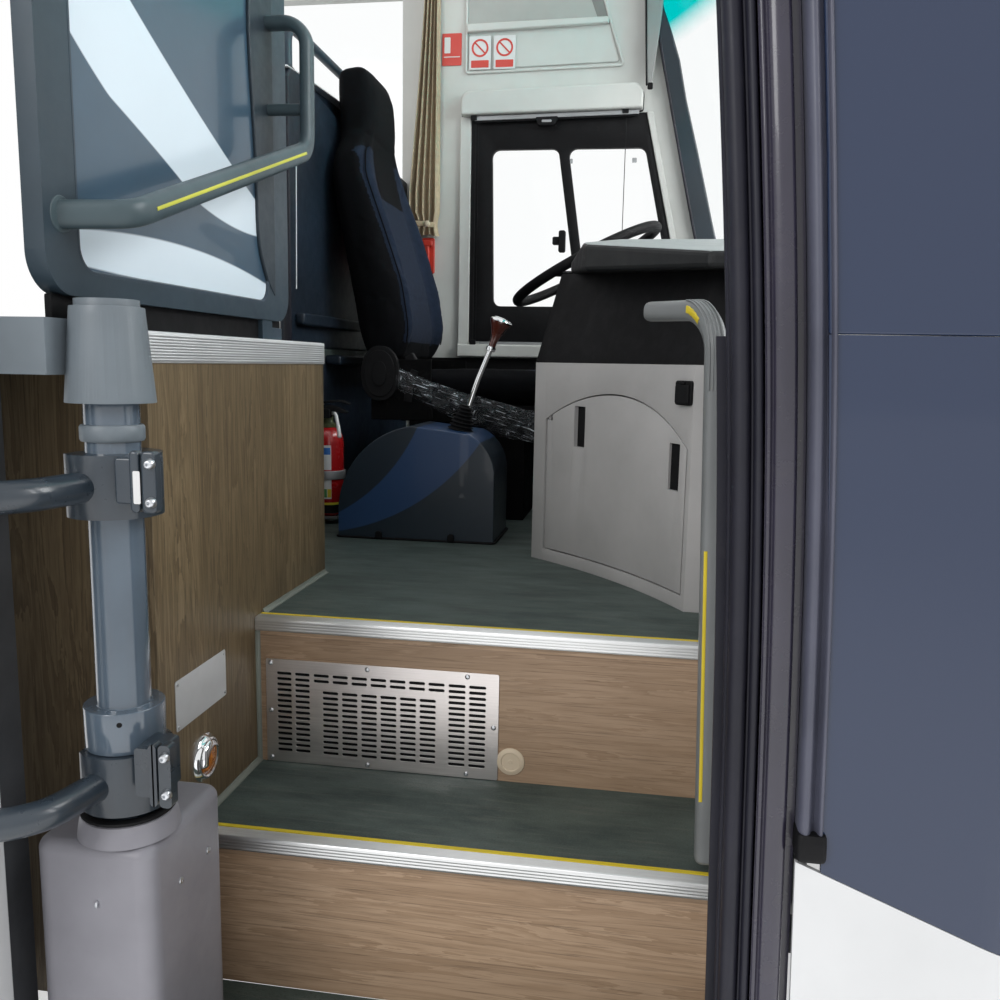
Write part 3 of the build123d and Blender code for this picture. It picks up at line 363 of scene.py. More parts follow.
def noise(vector, scale, detail=3.0, rough=0.55):
    """Noise between 0 and 1 with a feature size of about 1/scale metres."""
    return add(
        vector.id_data, "ShaderNodeTexNoise",
        {"Vector": vector, "Scale": scale, "Detail": detail, "Roughness": rough}).outputs["Fac"]


def remap(value, low, high, to_low=0.0, to_high=1.0):
    """Value stretched from one range to another, and held inside it."""
    return add(
        value.id_data, "ShaderNodeMapRange", {0: value, 1: low, 2: high, 3: to_low, 4: to_high}).outputs[0]


def sums(operation, *values):
    """One arithmetic step on numbers or sockets, of which one at least is a socket."""
    tree = next(value.id_data for value in values if isinstance(value, bpy.types.NodeSocket))
    return add(tree, "ShaderNodeMath", dict(enumerate(values)), operation=operation).outputs[0]


def blend(factor, first, second):
    """Two colours mixed; a plain colour is given as three numbers."""
    full = [value if isinstance(value, bpy.types.NodeSocket) else (*value, 1.0) for value in (first, second)]
    return add(
        factor.id_data, "ShaderNodeMix", {0: factor, 6: full[0], 7: full[1]}, data_type="RGBA").outputs[2]


def set_bump(shader, height, depth):
    """Bump of a height between 0 and 1, depth millimetres deep."""
    bump = add(shader.id_data, "ShaderNodeBump", {"Height": height, "Strength": 1.0, "Distance": depth * MM})
    wire(bump.outputs[0], shader, "Normal")


def wire(value, shader, socket):
    """Links a value to a socket of the shader."""
    shader.id_data.links.new(value, shader.inputs[socket])


def moulded(name, colour, rough=0.5, grain=900.0, depth=0.03, drift=0.12, **facts):
    """Plastic or paint: colour drifts slowly, roughness with it, under a fine grain."""
    material, tree, shader = new_material(name, colour, rough, **facts)
    slow = noise(place(tree), 5.0, 4.0)
    dirt = noise(place(tree), 38.0, 6.0, 0.65)
    shade = tuple(c * (1 - 2.2 * drift) for c in colour)
    tone = blend(remap(slow, 0.3, 0.7, 0, 1), shade, tuple(min(1, c * (1 + drift)) for c in colour))
    worn = blend(remap(dirt, 0.58, 0.75, 0, 0.5 * drift), tone, (0.10, 0.09, 0.08))
    wire(worn, shader, "Base Color")
    wire(remap(dirt, 0.3, 0.7, rough * 0.85, min(1, rough * 1.2)), shader, "Roughness")
    set_bump(shader, noise(place(tree), grain, 2.0), depth)
    return material


def brushed(name, colour, rough, stretch, **facts):
    """Metal drawn in one direction: noise squeezed across the grain drives tone and bump."""
    material, tree, shader = new_material(name, colour, rough, 1.0, **facts)
    lines = noise(place(tree, stretch), 1.0, 5.0, 0.7)
    cloud = noise(place(tree), 9.0, 4.0)
    tone = blend(remap(lines, 0.3, 0.7), tuple(c * 0.82 for c in colour), colour)
    wire(blend(remap(cloud, 0.45, 0.75, 0, 0.35), tone, tuple(c * 0.7 for c in colour)), shader, "Base Color")
    wire(remap(lines, 0.25, 0.75, rough * 0.8, rough * 1.35), shader, "Roughness")
    set_bump(shader, lines, 0.03)
    return material


print("material helpers ready")

# %% [markdown]
# Plain plastics, paints, rubbers and metals first. The colours are what each piece shows in even
# light: grey-white for the moulded console and window trim, slate for the partition's rails, a
# violet grey for the drive cover, and black for the dashboard's shell. The dashboard's pad is
# black on its edges, and where it faces up it is painted a pale grey: painted sky light on its top.

# %% Plain finishes
FRAME_PAINT = moulded("frame_paint", (0.055, 0.058, 0.065), 0.5, 400, 0.05, 0.25)
WHITE_BODY = moulded("white_body_paint", (0.74, 0.75, 0.76), 0.22, 120, 0.01, 0.03, coat=0.6)
WHITE_TRIM = moulded("white_window_trim", (0.60, 0.61, 0.585), 0.48, 1100, 0.03, 0.03, slot="white_trim")
CONSOLE_WHITE = moulded("console_shell", (0.44, 0.43, 0.425), 0.5, 1000, 0.04, 0.06)
SLATE_GREY = moulded(
    "slate_moulding", (0.034, 0.053, 0.074), 0.4, 1200, 0.03, 0.1, specular=0.4, slot="panel_silver")
RAIL_GREY = moulded("handrail_moulding", (0.185, 0.195, 0.198), 0.38, 1200, 0.02, 0.07, slot="grey_trim")
DRIVE_GREY = moulded("drive_cover_moulding", (0.290, 0.285, 0.320), 0.42, 700, 0.05, 0.1, slot="grey_trim")
CAP_GREY = moulded("top_cover_moulding", (0.165, 0.195, 0.220), 0.45, 700, 0.04, 0.1, slot="column_paint")
BLACK = moulded(
    "black_moulding", (0.0065, 0.0065, 0.0075), 0.6, 900, 0.06, 0.2, specular=0.16, slot="black_plastic")
PAD_BLACK = moulded("dashboard_pad", (0.046, 0.052, 0.052), 0.5, 600, 0.14, 0.15, specular=0.3)
GUARD_BLUE = moulded(
    "guard_moulding", (0.012, 0.020, 0.033), 0.4, 900, 0.05, 0.2, specular=0.3, slot="guard_blue")
RUBBER = moulded("seal_rubber", (0.013, 0.013, 0.022), 0.48, 500, 0.06, 0.2, specular=0.3, slot="rubber_dark")
STRIP_RUBBER = moulded(
    "weather_strip_rubber", (0.086, 0.090, 0.125), 0.4, 500, 0.04, 0.15, specular=0.4, slot="dark_gloss")
JAMB_GLOSS = moulded(
    "jamb_gloss_paint", (0.026, 0.023, 0.042), 0.25, 60, 0.02, 0.2, coat=0.35, slot="dark_gloss")
COLUMN_PAINT = moulded("door_column_paint", (0.095, 0.130, 0.172), 0.2, 220, 0.02, 0.12, coat=0.8)
CLAMP_DARK = moulded(
    "clamp_casting", (0.026, 0.037, 0.050), 0.3, 260, 0.08, 0.15, coat=0.3, slot="column_paint")
RED_PAINT = moulded(
    "extinguisher_red", (0.46, 0.012, 0.014), 0.25, 150, 0.01, 0.06, coat=0.6, slot="red_paint")
RED_PLASTIC = moulded("hammer_red", (0.50, 0.035, 0.02), 0.4, 600, 0.03, 0.05, slot="red_paint")
BEIGE = moulded("plug_beige", (0.66, 0.545, 0.40), 0.45, 500, 0.03, 0.06, slot="beige_plastic")
YELLOW = moulded("marker_yellow", (0.78, 0.60, 0.03), 0.45, 700, 0.03, 0.08, slot="grey_trim")
LABEL_WHITE = moulded("label_white", (0.72, 0.72, 0.72), 0.45, 300, 0.01, 0.04, slot="white_trim")
SIGN_RED = moulded("sign_red", (0.62, 0.045, 0.03), 0.4, 300, 0.01, 0.03, slot="white_trim")
COVING = moulded("coving_strip", (0.22, 0.24, 0.21), 0.5, 500, 0.04, 0.1, slot="beige_plastic")
ALUMINIUM = brushed("nosing_aluminium", (0.80, 0.81, 0.81), 0.34, (4.0, 900.0, 900.0), slot="aluminium")
ALUMINIUM_Y = brushed("deck_trim_aluminium", (0.97, 0.98, 0.99), 0.42, (900.0, 4.0, 900.0), slot="aluminium")
STAINLESS = brushed("grille_steel", (0.84, 0.79, 0.77), 0.36, (6.0, 500.0, 500.0), slot="stainless")
GALVANISED = brushed("galvanised_sheet", (0.40, 0.41, 0.42), 0.55, (30.0, 30.0, 30.0), slot="aluminium")
CHROME = brushed("bright_chrome", (0.86, 0.87, 0.88), 0.08, (12.0, 12.0, 12.0), slot="chrome")
PLATE_FOIL = moulded("data_plate_foil", (0.52, 0.522, 0.53), 0.42, 800, 0.05, 0.08, slot="aluminium")
SEAT_FRAME = moulded("seat_frame_black", (0.0045, 0.0045, 0.005), 0.75, 900, 0.05, 0.2, specular=0.08)
FRAME_SLATE = moulded("partition_frame_slate", (0.032, 0.052, 0.070), 0.4, 1200, 0.03, 0.1, specular=0.4)
GRIP_SLATE = moulded(
    "partition_grip_slate", (0.066, 0.098, 0.112), 0.4, 1200, 0.03, 0.1, specular=0.4, slot="panel_silver")
PARTITION_SLATE = moulded(
    "partition_stile_slate", (0.028, 0.040, 0.052), 0.42, 900, 0.03, 0.1, specular=0.3, slot="panel_silver")
LIME_LINE = moulded("grip_line_lime", (0.60, 0.60, 0.06), 0.45, 700, 0.03, 0.08, slot="panel_silver")
BOLT_STEEL = brushed("bolt_steel", (0.62, 0.64, 0.67), 0.28, (60.0, 60.0, 60.0), slot="stainless")


def paint_light_by_slope(material, low, high, edge, top):
    """Painted light by the upward part of the normal: the edge colour below the low value, the pale top
    colour above the high, as if lit from above.
    """
    tree = material.node_tree
    normal = add(tree, "ShaderNodeTexCoord").outputs["Normal"]
    upward = add(tree, "ShaderNodeSeparateXYZ", {0: normal}).outputs[2]
    tone = blend(remap(upward, low, high), edge, top)
    wire(tone, tree.nodes["Principled BSDF"], "Base Color")


# painted light: the pad's upward faces are painted pale grey for the sky light falling on its top
paint_light_by_slope(PAD_BLACK, 0.70, 0.93, (0.010, 0.011, 0.012), (0.34, 0.37, 0.37))
print("plain finishes:", len(bpy.data.materials))

# %% [markdown]
# The stairwell is lined with a vinyl film printed as wood. Its figure is a noise drawn out along
# the boards and cut into rings, with finer noise for the pores. The film has wide, faint board
# edges, so each board gets its own tone from a stepped coordinate. The wall's grain stands
# upright and is olive brown, partly its print and partly painted shade: its colours are set darker
# for the shade the wall stands in. The risers' grain lies flat and is paler and yellower.

# %% Wood films
def wood_film(name, dark, light, along, across, board, rough=0.42):
    """Boards of a printed grain: along and across number the axes (0, 1 or 2) of the grain and
    of the boards' width, board is that width in metres."""
    material, tree, shader = new_material(name, light, rough)
    split = add(tree, "ShaderNodeSeparateXYZ", {0: place(tree)})
    count = sums("DIVIDE", split.outputs[across], board)
    cell = sums("FLOOR", count, 0.0)
    tone = add(tree, "ShaderNodeTexWhiteNoise", {"W": cell}, noise_dimensions="1D").outputs["Value"]
    stretch = [26.0, 26.0, 26.0]
    stretch[along] = 2.0
    offset = add(tree, "ShaderNodeCombineXYZ", {0: sums("MULTIPLY", tone, 37.0)}).outputs[0]
    shifted = add(
        tree, "ShaderNodeVectorMath", {0: place(tree, tuple(stretch)), 1: offset}, operation="ADD").outputs[0]
    figure = add(
        tree, "ShaderNodeTexNoise",
        {"Vector": shifted, "Scale": 1.0, "Detail": 5.0, "Roughness": 0.6, "Distortion": 0.9}).outputs["Fac"]
    rings = sums("FRACT", sums("MULTIPLY", figure, 7.0), 0.0)
    fine = [520.0, 520.0, 520.0]
    fine[along] = 9.0
    pores = noise(place(tree, tuple(fine)), 1.0, 4.0, 0.7)
    base = blend(remap(rings, 0.1, 0.95), light, dark)
    pored = blend(remap(pores, 0.52, 0.68, 0.0, 0.75), base, tuple(c * 0.42 for c in dark))
    board_tone = blend(remap(tone, 0, 1, 0.0, 0.42), pored, tuple(c * 0.55 for c in dark))
    edge = sums("ABSOLUTE", sums("SUBTRACT", sums("FRACT", count, 0.0), 0.5), 0.0)
    joint = remap(edge, 0.492, 0.499)
    wire(blend(sums("MULTIPLY", joint, 0.35), board_tone, tuple(c * 0.3 for c in dark)), shader, "Base Color")
    wire(remap(pores, 0.3, 0.7, rough * 0.9, rough * 1.35), shader, "Roughness")
    set_bump(shader, pores, 0.05)
    return material


# partly painted shade: the wall film's colours are set darker than its print, for the shade on the wall
WALL_WOOD_SHADED = wood_film(
    "wall_wood_film", (0.116, 0.080, 0.041), (0.205, 0.150, 0.083), along=2, across=1, board=0.155)
RISER_WOOD = wood_film(
    "riser_wood_film", (0.390, 0.258, 0.160), (0.520, 0.362, 0.240), along=0, across=2, board=0.125)
print("wood films ready")

# %% [markdown]
# The floor is a hard vinyl with a cast-in grit, so it needs two scales: small pale and dark
# flecks, and a slow wear that lightens where feet pass. Voronoi cells give the flecks.

# %% Floor vinyl
def floor_vinyl():
    """Grey-green sheet with flecks and a worn middle."""
    material, tree, shader = new_material("floor_vinyl", (0.085, 0.092, 0.085), 0.5)
    grit = add(tree, "ShaderNodeTexVoronoi", {"Vector": place(tree), "Scale": 420.0}).outputs["Distance"]
    wear = noise(place(tree, (1.0, 2.6, 1.0)), 6.0, 5.0, 0.6)
    smear = noise(place(tree, (2.0, 30.0, 1.0)), 4.0, 4.0, 0.6)
    tone = blend(remap(wear, 0.35, 0.68), (0.040, 0.060, 0.055), (0.082, 0.112, 0.102))
    dusty = blend(remap(smear, 0.52, 0.75, 0, 0.30), tone, (0.20, 0.19, 0.165))
    flecks = blend(remap(grit, 0.0, 0.30, 0.4, 0.0), dusty, (0.26, 0.27, 0.24))
    dark = noise(place(tree), 300.0, 2.0)
    wire(blend(remap(dark, 0.60, 0.70, 0, 0.7), flecks, (0.03, 0.034, 0.03)), shader, "Base Color")
    wire(remap(wear, 0.3, 0.7, 0.68, 0.46), shader, "Roughness")
    set_bump(shader, grit, 0.25)
    return material


VINYL = floor_vinyl()
print("floor vinyl ready")

# %% [markdown]
# The partition's panel and the gear cover carry curved livery stripes. Every edge of a stripe is
# part of a large circle, so a stripe is the area inside some circles and outside others. A circle
# is worked out from three points on the edge, and a step in the distance from its centre cuts the
# colour sharp at any size.

# %% Curved stripes
def ring_through(a, b, c):
    """Centre and radius of the circle through three points in millimetres: the centre is where
    the two mid-perpendiculars meet."""
    a, b, c = (np.array(p, float) for p in (a, b, c))
    sides = np.array([b - a, c - a])
    middle = np.linalg.solve(sides, np.array([(b @ b - a @ a) / 2, (c @ c - a @ a) / 2]))
    return middle * MM, np.linalg.norm(middle - a) * MM


def striped(name, ground, stripes, plane, rough, coat=0.0, edge=0.0012):
    """Ground colour with stripes. A stripe is its colour, a point inside it, and its edges, each
    three points; the point says which side of each circle counts. Plane is the pair of axes."""
    material, tree, shader = new_material(name, ground, rough, 0.0, coat)
    split = add(tree, "ShaderNodeSeparateXYZ", {0: place(tree)})
    cloud = noise(place(tree), 7.0, 4.0)
    colour = blend(remap(cloud, 0.3, 0.7), tuple(c * 0.9 for c in ground), ground)
    for paint, inside, *edges in stripes:
        area = 1.0
        for points in edges:
            centre, radius = ring_through(*points)
            steps = [sums("SUBTRACT", split.outputs[axis], c) for axis, c in zip(plane, centre)]
            squares = [sums("MULTIPLY", s, s) for s in steps]
            distance = sums("SQRT", sums("ADD", *squares), 0.0)
            low, high = (1.0, 0.0) if np.linalg.norm(np.array(inside) * MM - centre) < radius else (0.0, 1.0)
            area = sums("MULTIPLY", area, remap(distance, radius - edge, radius + edge, low, high))
        colour = blend(area, colour, paint)
    dirt = noise(place(tree), 40.0, 6.0, 0.65)
    wire(colour, shader, "Base Color")
    wire(remap(dirt, 0.3, 0.7, rough * 0.95, rough * 1.1), shader, "Roughness")
    set_bump(shader, noise(place(tree), 900.0, 2.0), 0.02)
    return material


PALE = (0.72, 0.82, 0.90)
PANEL_STRIPES = striped(
    "partition_panel_stripes", (0.044, 0.088, 0.135),
    (
        (
            PALE, (400, 1200), ((150, 1253), (226, 1225), (359, 1170)),
            ((373, 1168), (446, 1157), (600, 1157)), ((192, 1381), (465, 1245), (570, 1200))),
        (
            PALE, (300, 1080), ((141, 1103), (322, 1107), (611, 1075)),
            ((137, 1054), (299, 1050), (521, 1049)))),
    (1, 2), 0.3, 0.3)
COVER_STRIPES = striped(
    "gear_cover_stripes", (0.017, 0.028, 0.042),
    (
        (
            (0.024, 0.062, 0.155), (-300, 690), ((-470, 590), (-385, 650), (-270, 812)),
            ((-470, 545), (-270, 625), (-110, 790))),),
    (0, 2), 0.34, 0.25)
print("stripes ready")

# %% [markdown]
# Glass comes in three kinds: nearly clear in the side window and the passenger's window, tinted
# at the windscreen, and almost black with a blue cast in the door, the quarter and side glass.
# Thin panes use the transmission of the shader with an index of refraction near one, so that
# they don't bend what stands behind them, and a low alpha, which lets the lamps' light through.

# %% Glass, lenses and film
def glass(name, colour, rough=0.02, transmission=1.0, ior=1.08, coat=0.5, **facts):
    """Thin pane with faint streaks in its roughness."""
    material, tree, shader = new_material(
        name, colour, rough, 0.0, coat, Transmission_Weight=transmission, IOR=ior, **facts)
    streak = noise(place(tree, (3.0, 3.0, 14.0)), 4.0, 4.0)
    wire(remap(streak, 0.4, 0.8, rough, rough + 0.06), shader, "Roughness")
    return material


def shade_band(material, low, high, clear, shade):
    """Colours a screen's top edge: between two heights in metres the tint sets in and the pane's
    alpha rises from the clear panes' to full."""
    tree = material.node_tree
    height = add(tree, "ShaderNodeSeparateXYZ", {0: place(tree)}).outputs[2]
    tint = blend(remap(height, low, high), clear, shade)
    wire(tint, tree.nodes["Principled BSDF"], "Base Color")
    wire(remap(height, low, high, PANE_ALPHA, 1.0), tree.nodes["Principled BSDF"], "Alpha")


PANE_ALPHA = 0.25
CLEAR_GLASS = glass("clear_glass", (0.90, 0.95, 0.95), Alpha=PANE_ALPHA)
SCREEN_GLASS = glass("windscreen_glass", (0.88, 0.97, 0.97))
shade_band(SCREEN_GLASS, 2.02, 2.10, (0.88, 0.97, 0.97), (0.0, 0.62, 0.60))
DARK_GLASS = glass("dark_glass", (0.022, 0.036, 0.080), 0.08, 0.0, 1.45, 0.25)
AMBER_LENS = glass("amber_lens", (0.85, 0.30, 0.06), 0.12, 0.6, 1.3, slot="dark_gloss")


def crinkled_film():
    """Clear film with painted highlights: two crossed sets of fine white streaks, for light glinting on its
    creases, set the cover. The coordinates are turned about Y first, so that the long creases follow the
    hanging film."""
    material, tree, shader = new_material(
        "packing_film", (0.80, 0.85, 0.92), 0.10, 0.0, 1.0, slot="clear_glass", IOR=1.45)
    level = place(tree, turn=(0, -0.30, 0))
    long_crease = noise(
        add(tree, "ShaderNodeMapping", {"Vector": level, "Scale": (8.0, 30.0, 150.0)}).outputs[0],
        1.7, 5.0, 0.62)
    cross_crease = noise(
        add(tree, "ShaderNodeMapping", {"Vector": level, "Scale": (70.0, 60.0, 26.0)}).outputs[0],
        1.2, 4.0, 0.6)
    patches = noise(level, 16.0, 2.0, 0.5)
    # painted highlights: where the streaks show, the film turns opaque and pale, standing for glints of light
    # on its creases
    painted_highlights = sums("MAXIMUM", remap(long_crease, 0.56, 0.66), remap(cross_crease, 0.60, 0.70, 0.0, 0.6))
    highlight_cover = sums("MULTIPLY", painted_highlights, remap(patches, 0.38, 0.55, 0.15, 1.0))
    wire(remap(highlight_cover, 0.0, 1.0, 0.05, 0.78), shader, "Alpha")
    set_bump(shader, long_crease, 0.8)
    return material


FILM = crinkled_film()
print("glass ready")

# %% [markdown]
# The seat is trimmed in a black weave with a dark blue, finer cloth on the middle panels. The
# weave is two crossed sine waves in the height, which stays small enough to read as cloth. The
# curtain's cloth is looser and beige.

# %% Cloths
def woven(name, colour, thread, rough=0.9, sheen=0.3, fleck=0.25, **facts):
    """Cloth with threads of the given pitch in metres, in the piece's own UV map."""
    material, tree, shader = new_material(
        name, colour, rough, Sheen_Weight=sheen, Sheen_Roughness=0.5, specular=0.12, **facts)
    coords = add(tree, "ShaderNodeUVMap", uv_map="cloth").outputs[0]
    split = add(tree, "ShaderNodeSeparateXYZ", {0: coords})
    waves = [sums("SINE", sums("MULTIPLY", split.outputs[i], 2 * np.pi / thread), 0.0) for i in (0, 1)]
    weave = sums("MULTIPLY_ADD", sums("MULTIPLY", *waves), 0.5, 0.5)
    blotch = noise(coords, 60.0, 4.0)
    tone = blend(
        remap(blotch, 0.3, 0.7), tuple(c * (1 - fleck) for c in colour),
        tuple(c * (1 + fleck) for c in colour))
    wire(blend(sums("MULTIPLY", weave, 0.45), tone, tuple(c * 0.35 for c in colour)), shader, "Base Color")
    set_bump(shader, weave, 0.25)
    return material


SEAT_BLACK = woven("seat_cloth_black", (0.0032, 0.0036, 0.0048), 0.0022, sheen=0.0, slot="seat_fabric")
SEAT_BLUE = woven("seat_cloth_blue", (0.012, 0.020, 0.040), 0.0016, sheen=0.03)
CURTAIN_CLOTH = woven("curtain_cloth", (0.60, 0.48, 0.32), 0.0012, fleck=0.12, slot="curtain_fabric")
print("cloths ready")

# %% [markdown]
# Now the CAD nodes whose shape is right take their finishes. Their triangles are loose, so a Weld
# modifier joins them, a planar Decimate clears the flat faces and a small Bevel softens the
# edges, which catches the light as a real moulding or sheet does.

# %% Finishes on the frame's nodes
NODE_FINISH = (
    (FRAME_PAINT, {"base_frame": 3}),
    (WHITE_BODY, {"side_wall_right": 3, "front_shell": 0, "door_header": 3, "door_leaf": 4}),
    (WHITE_TRIM, {"side_wall_left": 3, "shade_housing": 2}),
    (DARK_GLASS, {"side_window_right": 1, "quarter_glass": 0, "front_pillars": 2, "door_glass": 0}),
    (CLEAR_GLASS, {"side_window_left": 0, "window_panes": 0}),
    (SCREEN_GLASS, {"windscreen": 0}),
    (
        BLACK,
        {
            "window_frame": 2.5, "recliner_cover": 5, "dash_cowl": 2, "steering_column": 1, "gear_lever": 0,
            "steering_wheel": 0}),
    (VINYL, {"entrance_floor": 0, "middle_tread": 0, "platform_floor": 0, "deck_floor": 0, "aisle_steps": 2}),
    (RISER_WOOD, {"step_risers": 0}),
    (GALVANISED, {"heater_case": 0, "extinguisher_bracket": 0.8}),
    (WALL_WOOD_SHADED, {"wood_wall": 0.8}),
    (GUARD_BLUE, {"driver_bulkhead": 1, "driver_guard": 6}),
    (SLATE_GREY, {"guard_rail": 0, "partition_handrail": 0}),
    (SEAT_FRAME, {"seat_pedestal": 3, "seat_pan": 2}),
    (CONSOLE_WHITE, {"dash_lower": 1.5, "locker_door": 1.5, "jamb_wall": 2}),
    (PAD_BLACK, {"dash_pad": 9}),
    (COLUMN_PAINT, {"door_column": 1.2}),
    (CLAMP_DARK, {"door_arms": 1.5}),
    (CAP_GREY, {"column_top_cover": 3}),
    (DRIVE_GREY, {"drive_cover": 2}),
    (PANEL_STRIPES, {"partition_panel": 0}),
    (FRAME_SLATE, {"partition_frame": 5}),
    (COVER_STRIPES, {"gear_cover": 9}),
    (RAIL_GREY, {"front_handrail": 0}),
    (STAINLESS, {"riser_grille": 0}),
    (BEIGE, {"riser_plug": 1}),
    (ALUMINIUM, {"step_nosings": 0.6}),
    (ALUMINIUM_Y, {"deck_trim": 0.6}),
    (RUBBER, {"jamb_seal": 2}),
    (STRIP_RUBBER, {"pillar_cover": 2}),
    (RED_PAINT, {"extinguisher": 0}),
    (SEAT_BLACK, {"seat_cushion": 0, "seat_back": 0}),
    (CURTAIN_CLOTH, {"curtain": 0}),
    (RED_PLASTIC, {"wall_hammer": 3}),
    (CHROME, {"step_lamps": 0}))


def dress(node, material, soften):
    """Material on a CAD node, and softened edges of a radius in millimetres."""
    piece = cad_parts[node]
    piece.data.materials.clear()
    piece.data.materials.append(material)
    if soften:
        piece.modifiers.new("weld", "WELD").merge_threshold = 1e-5
        flat = piece.modifiers.new("clear_flats", "DECIMATE")
        flat.decimate_type = "DISSOLVE"
        flat.angle_limit = np.radians(0.5)
        bevel(piece, soften)


for material, nodes in NODE_FINISH:
    for node, soften in nodes.items():
        dress(node, material, soften)
print("dressed", sum(len(nodes) for _, nodes in NODE_FINISH), "of", len(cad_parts), "nodes")

# %% [markdown]
# The step heater's grille is one stainless sheet with rows of stamped slots. A flat curve with
# many closed splines fills itself and leaves the holes open, and its extrude and bevel give the
# sheet its thickness and the slots their rolled edge, so it is drawn as a curve and then made a
# mesh. Screws sit round its edge, and a black plate behind it paints the shade inside the heater, seen
# through the slots.

# %% Grille in front of the heater
GRILLE_X, GRILLE_Z = WALL_MM + 16, 281.0
GRILLE_W, GRILLE_H = 396.0, 180.0
RISER_Y = UPPER_NOSE_Y / MM + 8
SLOT_GAP, SLOT_PITCH, SLOT_HEIGHT, SLOT_LOW = 6, 9.6, 5, 19
# left end, width of a slot, slots side by side, first row, rows
SLOT_BLOCKS = ((19, 25.7, 2, 0, 15), (98.6, 27.2, 6, 0, 12), (313, 27.9, 2, 0, 15), (83.2, 26.7, 7, 13, 2))


def holed_plate(name, outline, holes, origin, x_dir, y_dir, thickness, rolled, material, **facts):
    """Plate from a closed outline and closed holes in millimetres, as a filled flat curve."""
    curve = bpy.data.curves.new(name, "CURVE")
    curve.dimensions = "2D"
    curve.fill_mode = "BOTH"
    curve.extrude = thickness / 2 * MM - rolled * MM
    curve.bevel_depth = rolled * MM
    curve.bevel_resolution = 1
    curve.offset = -rolled * MM
    for ring in (outline, *holes):
        spline = curve.splines.new("POLY")
        spline.points.add(len(ring) - 1)
        flat = np.zeros((len(ring), 4))
        flat[:, :2] = np.asarray(ring) * MM
        flat[:, 3] = 1
        spline.points.foreach_set("co", flat.ravel())
        spline.use_cyclic_u = True
    drawn = bpy.data.objects.new(name + "_drawn", curve)
    mesh = bpy.data.meshes.new_from_object(drawn)
    points = read(mesh.vertices, "co")
    x_dir, y_dir = unit(np.array(x_dir, float)), unit(np.array(y_dir, float))
    placed = (
        np.array(origin) + points[:, :1] * x_dir + points[:, 1:2] * y_dir
        + points[:, 2:] * np.cross(x_dir, y_dir))
    faces = [list(face.vertices) for face in mesh.polygons]
    bpy.data.objects.remove(drawn)
    return add_piece(name, placed, faces, material, **facts)


def slots():
    """Outlines of every slot: short bars with round ends, block by block."""
    rings = []
    for left, width, across, first, rows in SLOT_BLOCKS:
        for column in range(across):
            for row in range(first, first + rows):
                x, z = left + column * (width + SLOT_GAP), SLOT_LOW + row * SLOT_PITCH
                rings.append(box(x, x + width, z, z + SLOT_HEIGHT, 2.45, 4))
    return rings


SCREW_SIDES = 14


def screws(name, spots, axis, radius, material, height=2.4, recess=True, **facts):
    """Pan-head screws: a shallow dome with a sunk middle, turned round the axis at each spot."""
    sunk = [(0.28 * radius, 0.62 * height), (0.30 * radius, height)] if recess else [(0.0, height)]
    profile = [
        (0.0, 0.62 * height if recess else height), *sunk, (0.62 * radius, 0.94 * height),
        (0.88 * radius, 0.66 * height), (radius, 0.25 * height), (radius, -0.6), (0.0, -0.6)]
    faces = grid_faces(len(profile), SCREW_SIDES, wrap_cols=True)
    return plates(
        name,
        [(turned(profile, spot, axis, SCREW_SIDES), faces) for spot in spots],
        material, **facts)


grille = holed_plate(
    "heater_grille", box(0, GRILLE_W, 0, GRILLE_H, 3), slots(),
    np.array([GRILLE_X, RISER_Y - 1.2, GRILLE_Z]) * MM, X, UP, 2.0, 0.35, STAINLESS, sharp=20,
    replaces=["riser_grille"])
edge = [(x, z) for x in (8, 176, 344) for z in (7, GRILLE_H - 7)] + [(8, 90), (GRILLE_W - 8, 90)]
# painted shade: a black plate behind the slots stands for the shade inside the heater
extrusion(
    "grille_shade_backing", box(12, GRILLE_W - 12, 12, GRILLE_H - 12, 3), (GRILLE_X, RISER_Y - 0.1, GRILLE_Z), 0.9,
    BLACK)
screws(
    "grille_screws", [(GRILLE_X + x, RISER_Y - 2.2, GRILLE_Z + z) for x, z in edge], DOORWARD, 4.2,
    BOLT_STEEL)
print("grille:", len(slots()), "slots,", len(grille.data.polygons), "faces")

# %% [markdown]
# The step edges are extruded aluminium with ribs underfoot and a yellow line; the deck's trim is
# the same metal with finer grooves. An extrusion is just its section drawn once and pushed along
# the edge, so the ribs are a rounded wave added to the section's outline.

# %% Step edges and deck trim
def ribbed(start, end, count, height, steps=8):
    """Points from start to end with half-round ribs: height times |sin| of the rib count."""
    start, end = np.array(start, float), np.array(end, float)
    t = np.linspace(0, 1, count * steps + 1)[:, None]
    along = unit(end - start)
    out = np.array([-along[1], along[0]])
    return start + (end - start) * t + out * height * np.abs(np.sin(np.pi * count * t))


NOSE_SECTION = np.concatenate([
    [(0.6, -19.8)], ribbed((0.4, -19.0), (0.4, -1.0), 4, 0.5), [(0.9, 1.2), (2.4, 2.3)],
    ribbed((3.0, 2.4), (22.0, 2.4), 7, 0.6),
    [(22.6, 1.9), (30.6, 1.9), (31.9, 1.4), (31.9, 0.1), (7.4, 0.1), (7.4, -19.6)]])
STEP_LENGTH = (STAIR_X1 - STAIR_X0) / MM - 2.6
nosings, lines = [], []
for y, z in ((LOWER_NOSE_Y, MIDDLE_Z), (UPPER_NOSE_Y, PLATFORM_Z)):
    origin = (STAIR_X1 / MM - 1.6, y / MM, z / MM)
    nosings.append(slab(NOSE_SECTION, origin, STEP_LENGTH, Y))
    lines.append(slab([(23, 1.9), (23.3, 3.0), (30.2, 3.0), (30.5, 1.9)], origin, STEP_LENGTH, Y))
plates("step_edges", nosings, ALUMINIUM, replaces=["step_nosings"], sharp=50)
plates("step_edge_lines", lines, YELLOW, slot="aluminium")

